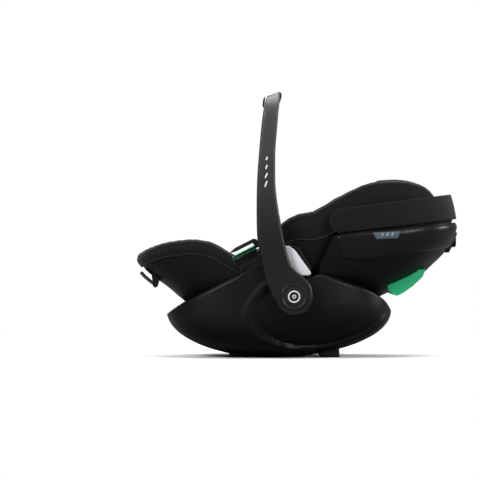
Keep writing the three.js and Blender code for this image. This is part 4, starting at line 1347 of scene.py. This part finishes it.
smallPieces = [
    # CAD piece, bevel in mm, paint, record slot, body
    *[("rubber_foot_" + spot, 1.5, "rubber", "rubber", "cradle")
      for spot in ("front_left", "front_right", "rear_left", "rear_right")],
    ("diagonal_belt_guide", 2.2, "green", "green_plastic", "bucket"),
    ("hub_tower_left", 1.2, "shell", "shell_plastic", "cradle"),
    ("hub_tower_right", 1.2, "shell", "shell_plastic", "cradle"),
    ("lap_belt_hook_left", 1.1, "green", "green_plastic", "bucket"),
    ("lap_belt_hook_right", 1.1, "green", "green_plastic", "bucket"),
    ("release_button_left", 1.8, "button", "grey_plastic", "release_button_left"),
    ("release_button_right", 1.8, "button", "grey_plastic", "release_button_right"),
    ("headrest_lever", 1.5, "handle", "handle_plastic", "headrest_lever"),
    ("recline_lever", 1.3, "lever", "grey_plastic", "recline_lever"),
    ("buckle_body", 1.0, "shell", "shell_plastic", "bucket"),
    ("buckle_button", 0.8, "red", "red_plastic", "buckle_button"),
    ("buckle_tongue_left", 0.7, "steel", "steel", "bucket"),
    ("buckle_tongue_right", 0.7, "steel", "steel", "bucket"),
    ("adjuster_housing", 1.0, "shell", "shell_plastic", "bucket"),
    ("adjuster_button", 0.8, "button", "grey_plastic", "adjuster_button"),
]
for node, width, paint, slotName, body in smallPieces:
    piece = softened(node, "rounded " + node.replace("_", " "), width)
    settle(piece, paint, slotName, body, node)
    if node.startswith("lap_belt_hook"):
        piece.data.materials.append(paints["horn"])
        slope = math.tan(math.radians(27))
        for polygon in piece.data.polygons:
            # above the hook's middle line, and the stem below it, are dark; the lower arm stays green
            over = polygon.center.z - 0.246 - slope * (polygon.center.x + 0.12)
            if over > 0.001 or over < -0.0125:
                polygon.material_index = 1

leverMount = {"x": -326.0, "z": 163.0, "knuckle": 3.4, "lugInside": 43.4, "lugOutside": 48.0, "reach": 9.0}


def prismMesh(name, outline, low, high):
    # a flat outline in x and z, carried along y and closed at both ends
    rim = np.stack([outline[:, 0], 0 * outline[:, 0], outline[:, 1]], 1)
    centre = np.broadcast_to(rim.mean(0), rim.shape)
    rows = [centre + [0, low, 0], rim + [0, low, 0], rim + [0, high, 0], centre + [0, high, 0]]
    return gridMesh(name, np.stack(rows), wrapColumns=True, sharpAngle=40)


def makeLeverMount():
    # two lugs under the bucket's foot end, with the lever's round knuckle turning between them
    m = leverMount
    turns = np.linspace(math.pi, 2 * math.pi, 20)
    for name, side in (("left", -1), ("right", 1)):
        top = m["x"] + np.array([m["reach"], 0, -m["reach"]])
        under = floorHeight(top, 0 * top + m["lugInside"], 0.0) + 2.5
        end = np.stack([m["x"] + 5 * np.cos(turns), m["z"] + 5 * np.sin(turns)], 1)
        outline = np.concatenate([end, np.stack([top, under], 1)])
        low, high = sorted((side * m["lugInside"], side * m["lugOutside"]))
        settle(prismMesh("lever lug " + name, outline, low, high), "inside", "shell_plastic", "bucket")
    knuckle = cylinderMesh("lever knuckle", m["x"], m["z"], m["knuckle"], -43.0, 43.0, 32)
    settle(knuckle, "lever", "grey_plastic", "recline_lever")


collar = {"gap": 0.7, "wall": 2.3, "deep": 186.5, "high": 196.0}


def makeCollar(name, side):
    # a dark ring on the cradle that the release button slides in, a little outside the button's own outline
    spots = np.array([v.co for v in nodes["release_button_" + name].data.vertices]) / mm
    flat = spots[:, [0, 2]]
    turns = np.linspace(0, 2 * math.pi, 120, endpoint=False)
    ahead = np.stack([np.cos(turns), np.sin(turns)], 1)
    border = flat[np.argmax(flat @ ahead.T, axis=0)]
    rows = []
    for out, y in ((0, "deep"), (0, "high"), (1, "high"), (1, "deep")):
        ring = border + (collar["gap"] + out * collar["wall"]) * ahead
        rows.append(np.stack([ring[:, 0], side * collar[y] + 0 * turns, ring[:, 1]], 1))
    settle(gridMesh("button collar " + name, np.stack(rows), wrapColumns=True, wrapRows=True, sharpAngle=40),
           "shell", "shell_plastic", "cradle")


makeLeverMount()
makeCollar("left", -1)
makeCollar("right", 1)

cadPaints = {
    "docking_bar": "steel", "hub_boss": "inside", "hub_axle": "steel",
    "canopy_pivot": "inside",
}
for node, obj in nodes.items():
    for start, paint in cadPaints.items():
        if node.startswith(start):
            dress(obj, paint)

print("room, light and camera")


def makeRoom():
    # a round pale floor; only the camera sees its full whiteness, so that it doesn't wash out
    # the dark plastic
    radius = np.array([0.0, 400, 1000, 1700])[:, None]
    turns = np.linspace(0, 2 * math.pi, 96, endpoint=False)
    disc = np.stack([radius * np.cos(turns), radius * np.sin(turns), 0 * radius * turns], -1)
    floor = gridMesh("floor", disc, wrapColumns=True, outward=False, sharpAngle=180)
    paint = Paint("pale floor", {"Roughness": 0.9, "Specular IOR Level": 0.1})
    seen = paint.node("ShaderNodeLightPath", {}, {}, "Is Camera Ray")
    paint.use(Base_Color=paint.blend(seen, grey(0.15), grey(0.93)))
    floor.data.materials.append(paint.material)


def makeLights():
    light = {"background": 1.0, "ambient": 0.2}
    world = bpy.data.worlds.new("studio")
    bpy.context.scene.world = world
    world.use_nodes = True
    tree = world.node_tree
    background = tree.nodes["Background"]
    background.inputs["Color"].default_value = (1, 1, 1, 1)
    strength = tree.nodes.new("ShaderNodeMapRange")
    strength.inputs[3].default_value, strength.inputs[4].default_value = light["ambient"], light["background"]
    tree.links.new(tree.nodes.new("ShaderNodeLightPath").outputs["Is Camera Ray"], strength.inputs[0])
    tree.links.new(strength.outputs[0], background.inputs["Strength"])
    lamps = [
        # name, place, target, width, depth, power in watts
        ("top", (0.1, 0.1, 2.3), (0, 0, 0), 2.4, 1.6, 76),
        ("key", (-2.0, -2.2, 1.7), (0, 0, 0.25), 0.9, 0.9, 80),
        ("fill", (1.9, -2.4, 1.2), (0, 0, 0.25), 0.8, 0.8, 36),
        ("rim", (2.3, 0.1, 0.8), (0.1, 0, 0.3), 0.5, 1.0, 26),
        ("back", (-1.0, 2.6, 1.6), (0, 0, 0.3), 1.6, 1.0, 40),
    ]
    for name, place, target, width, depth, power in lamps:
        lamp = bpy.data.lights.new(name, "AREA")
        lamp.shape, lamp.size, lamp.size_y, lamp.energy = "RECTANGLE", width, depth, power
        obj = bpy.data.objects.new(name, lamp)
        bpy.context.scene.collection.objects.link(obj)
        obj.location = place
        obj.rotation_euler = (Vector(target) - Vector(place)).to_track_quat("-Z", "Y").to_euler()


def makeCamera():
    view = {"target": Vector((-0.132, 0, 0.2668)), "distance": 8.0, "elevation": 0.0, "lens": 260.9}
    data = bpy.data.cameras.new("camera")
    data.lens, data.sensor_width = view["lens"], 36
    data.clip_end = 100
    camera = bpy.data.objects.new("camera", data)
    bpy.context.scene.collection.objects.link(camera)
    tilt = math.radians(view["elevation"])
    camera.location = view["target"] + view["distance"] * Vector((0, -math.cos(tilt), math.sin(tilt)))
    camera.rotation_euler = (view["target"] - camera.location).to_track_quat("-Z", "Y").to_euler()
    bpy.context.scene.camera = camera


makeRoom()
makeLights()
makeCamera()
bpy.context.scene.view_settings.view_transform = "Standard"
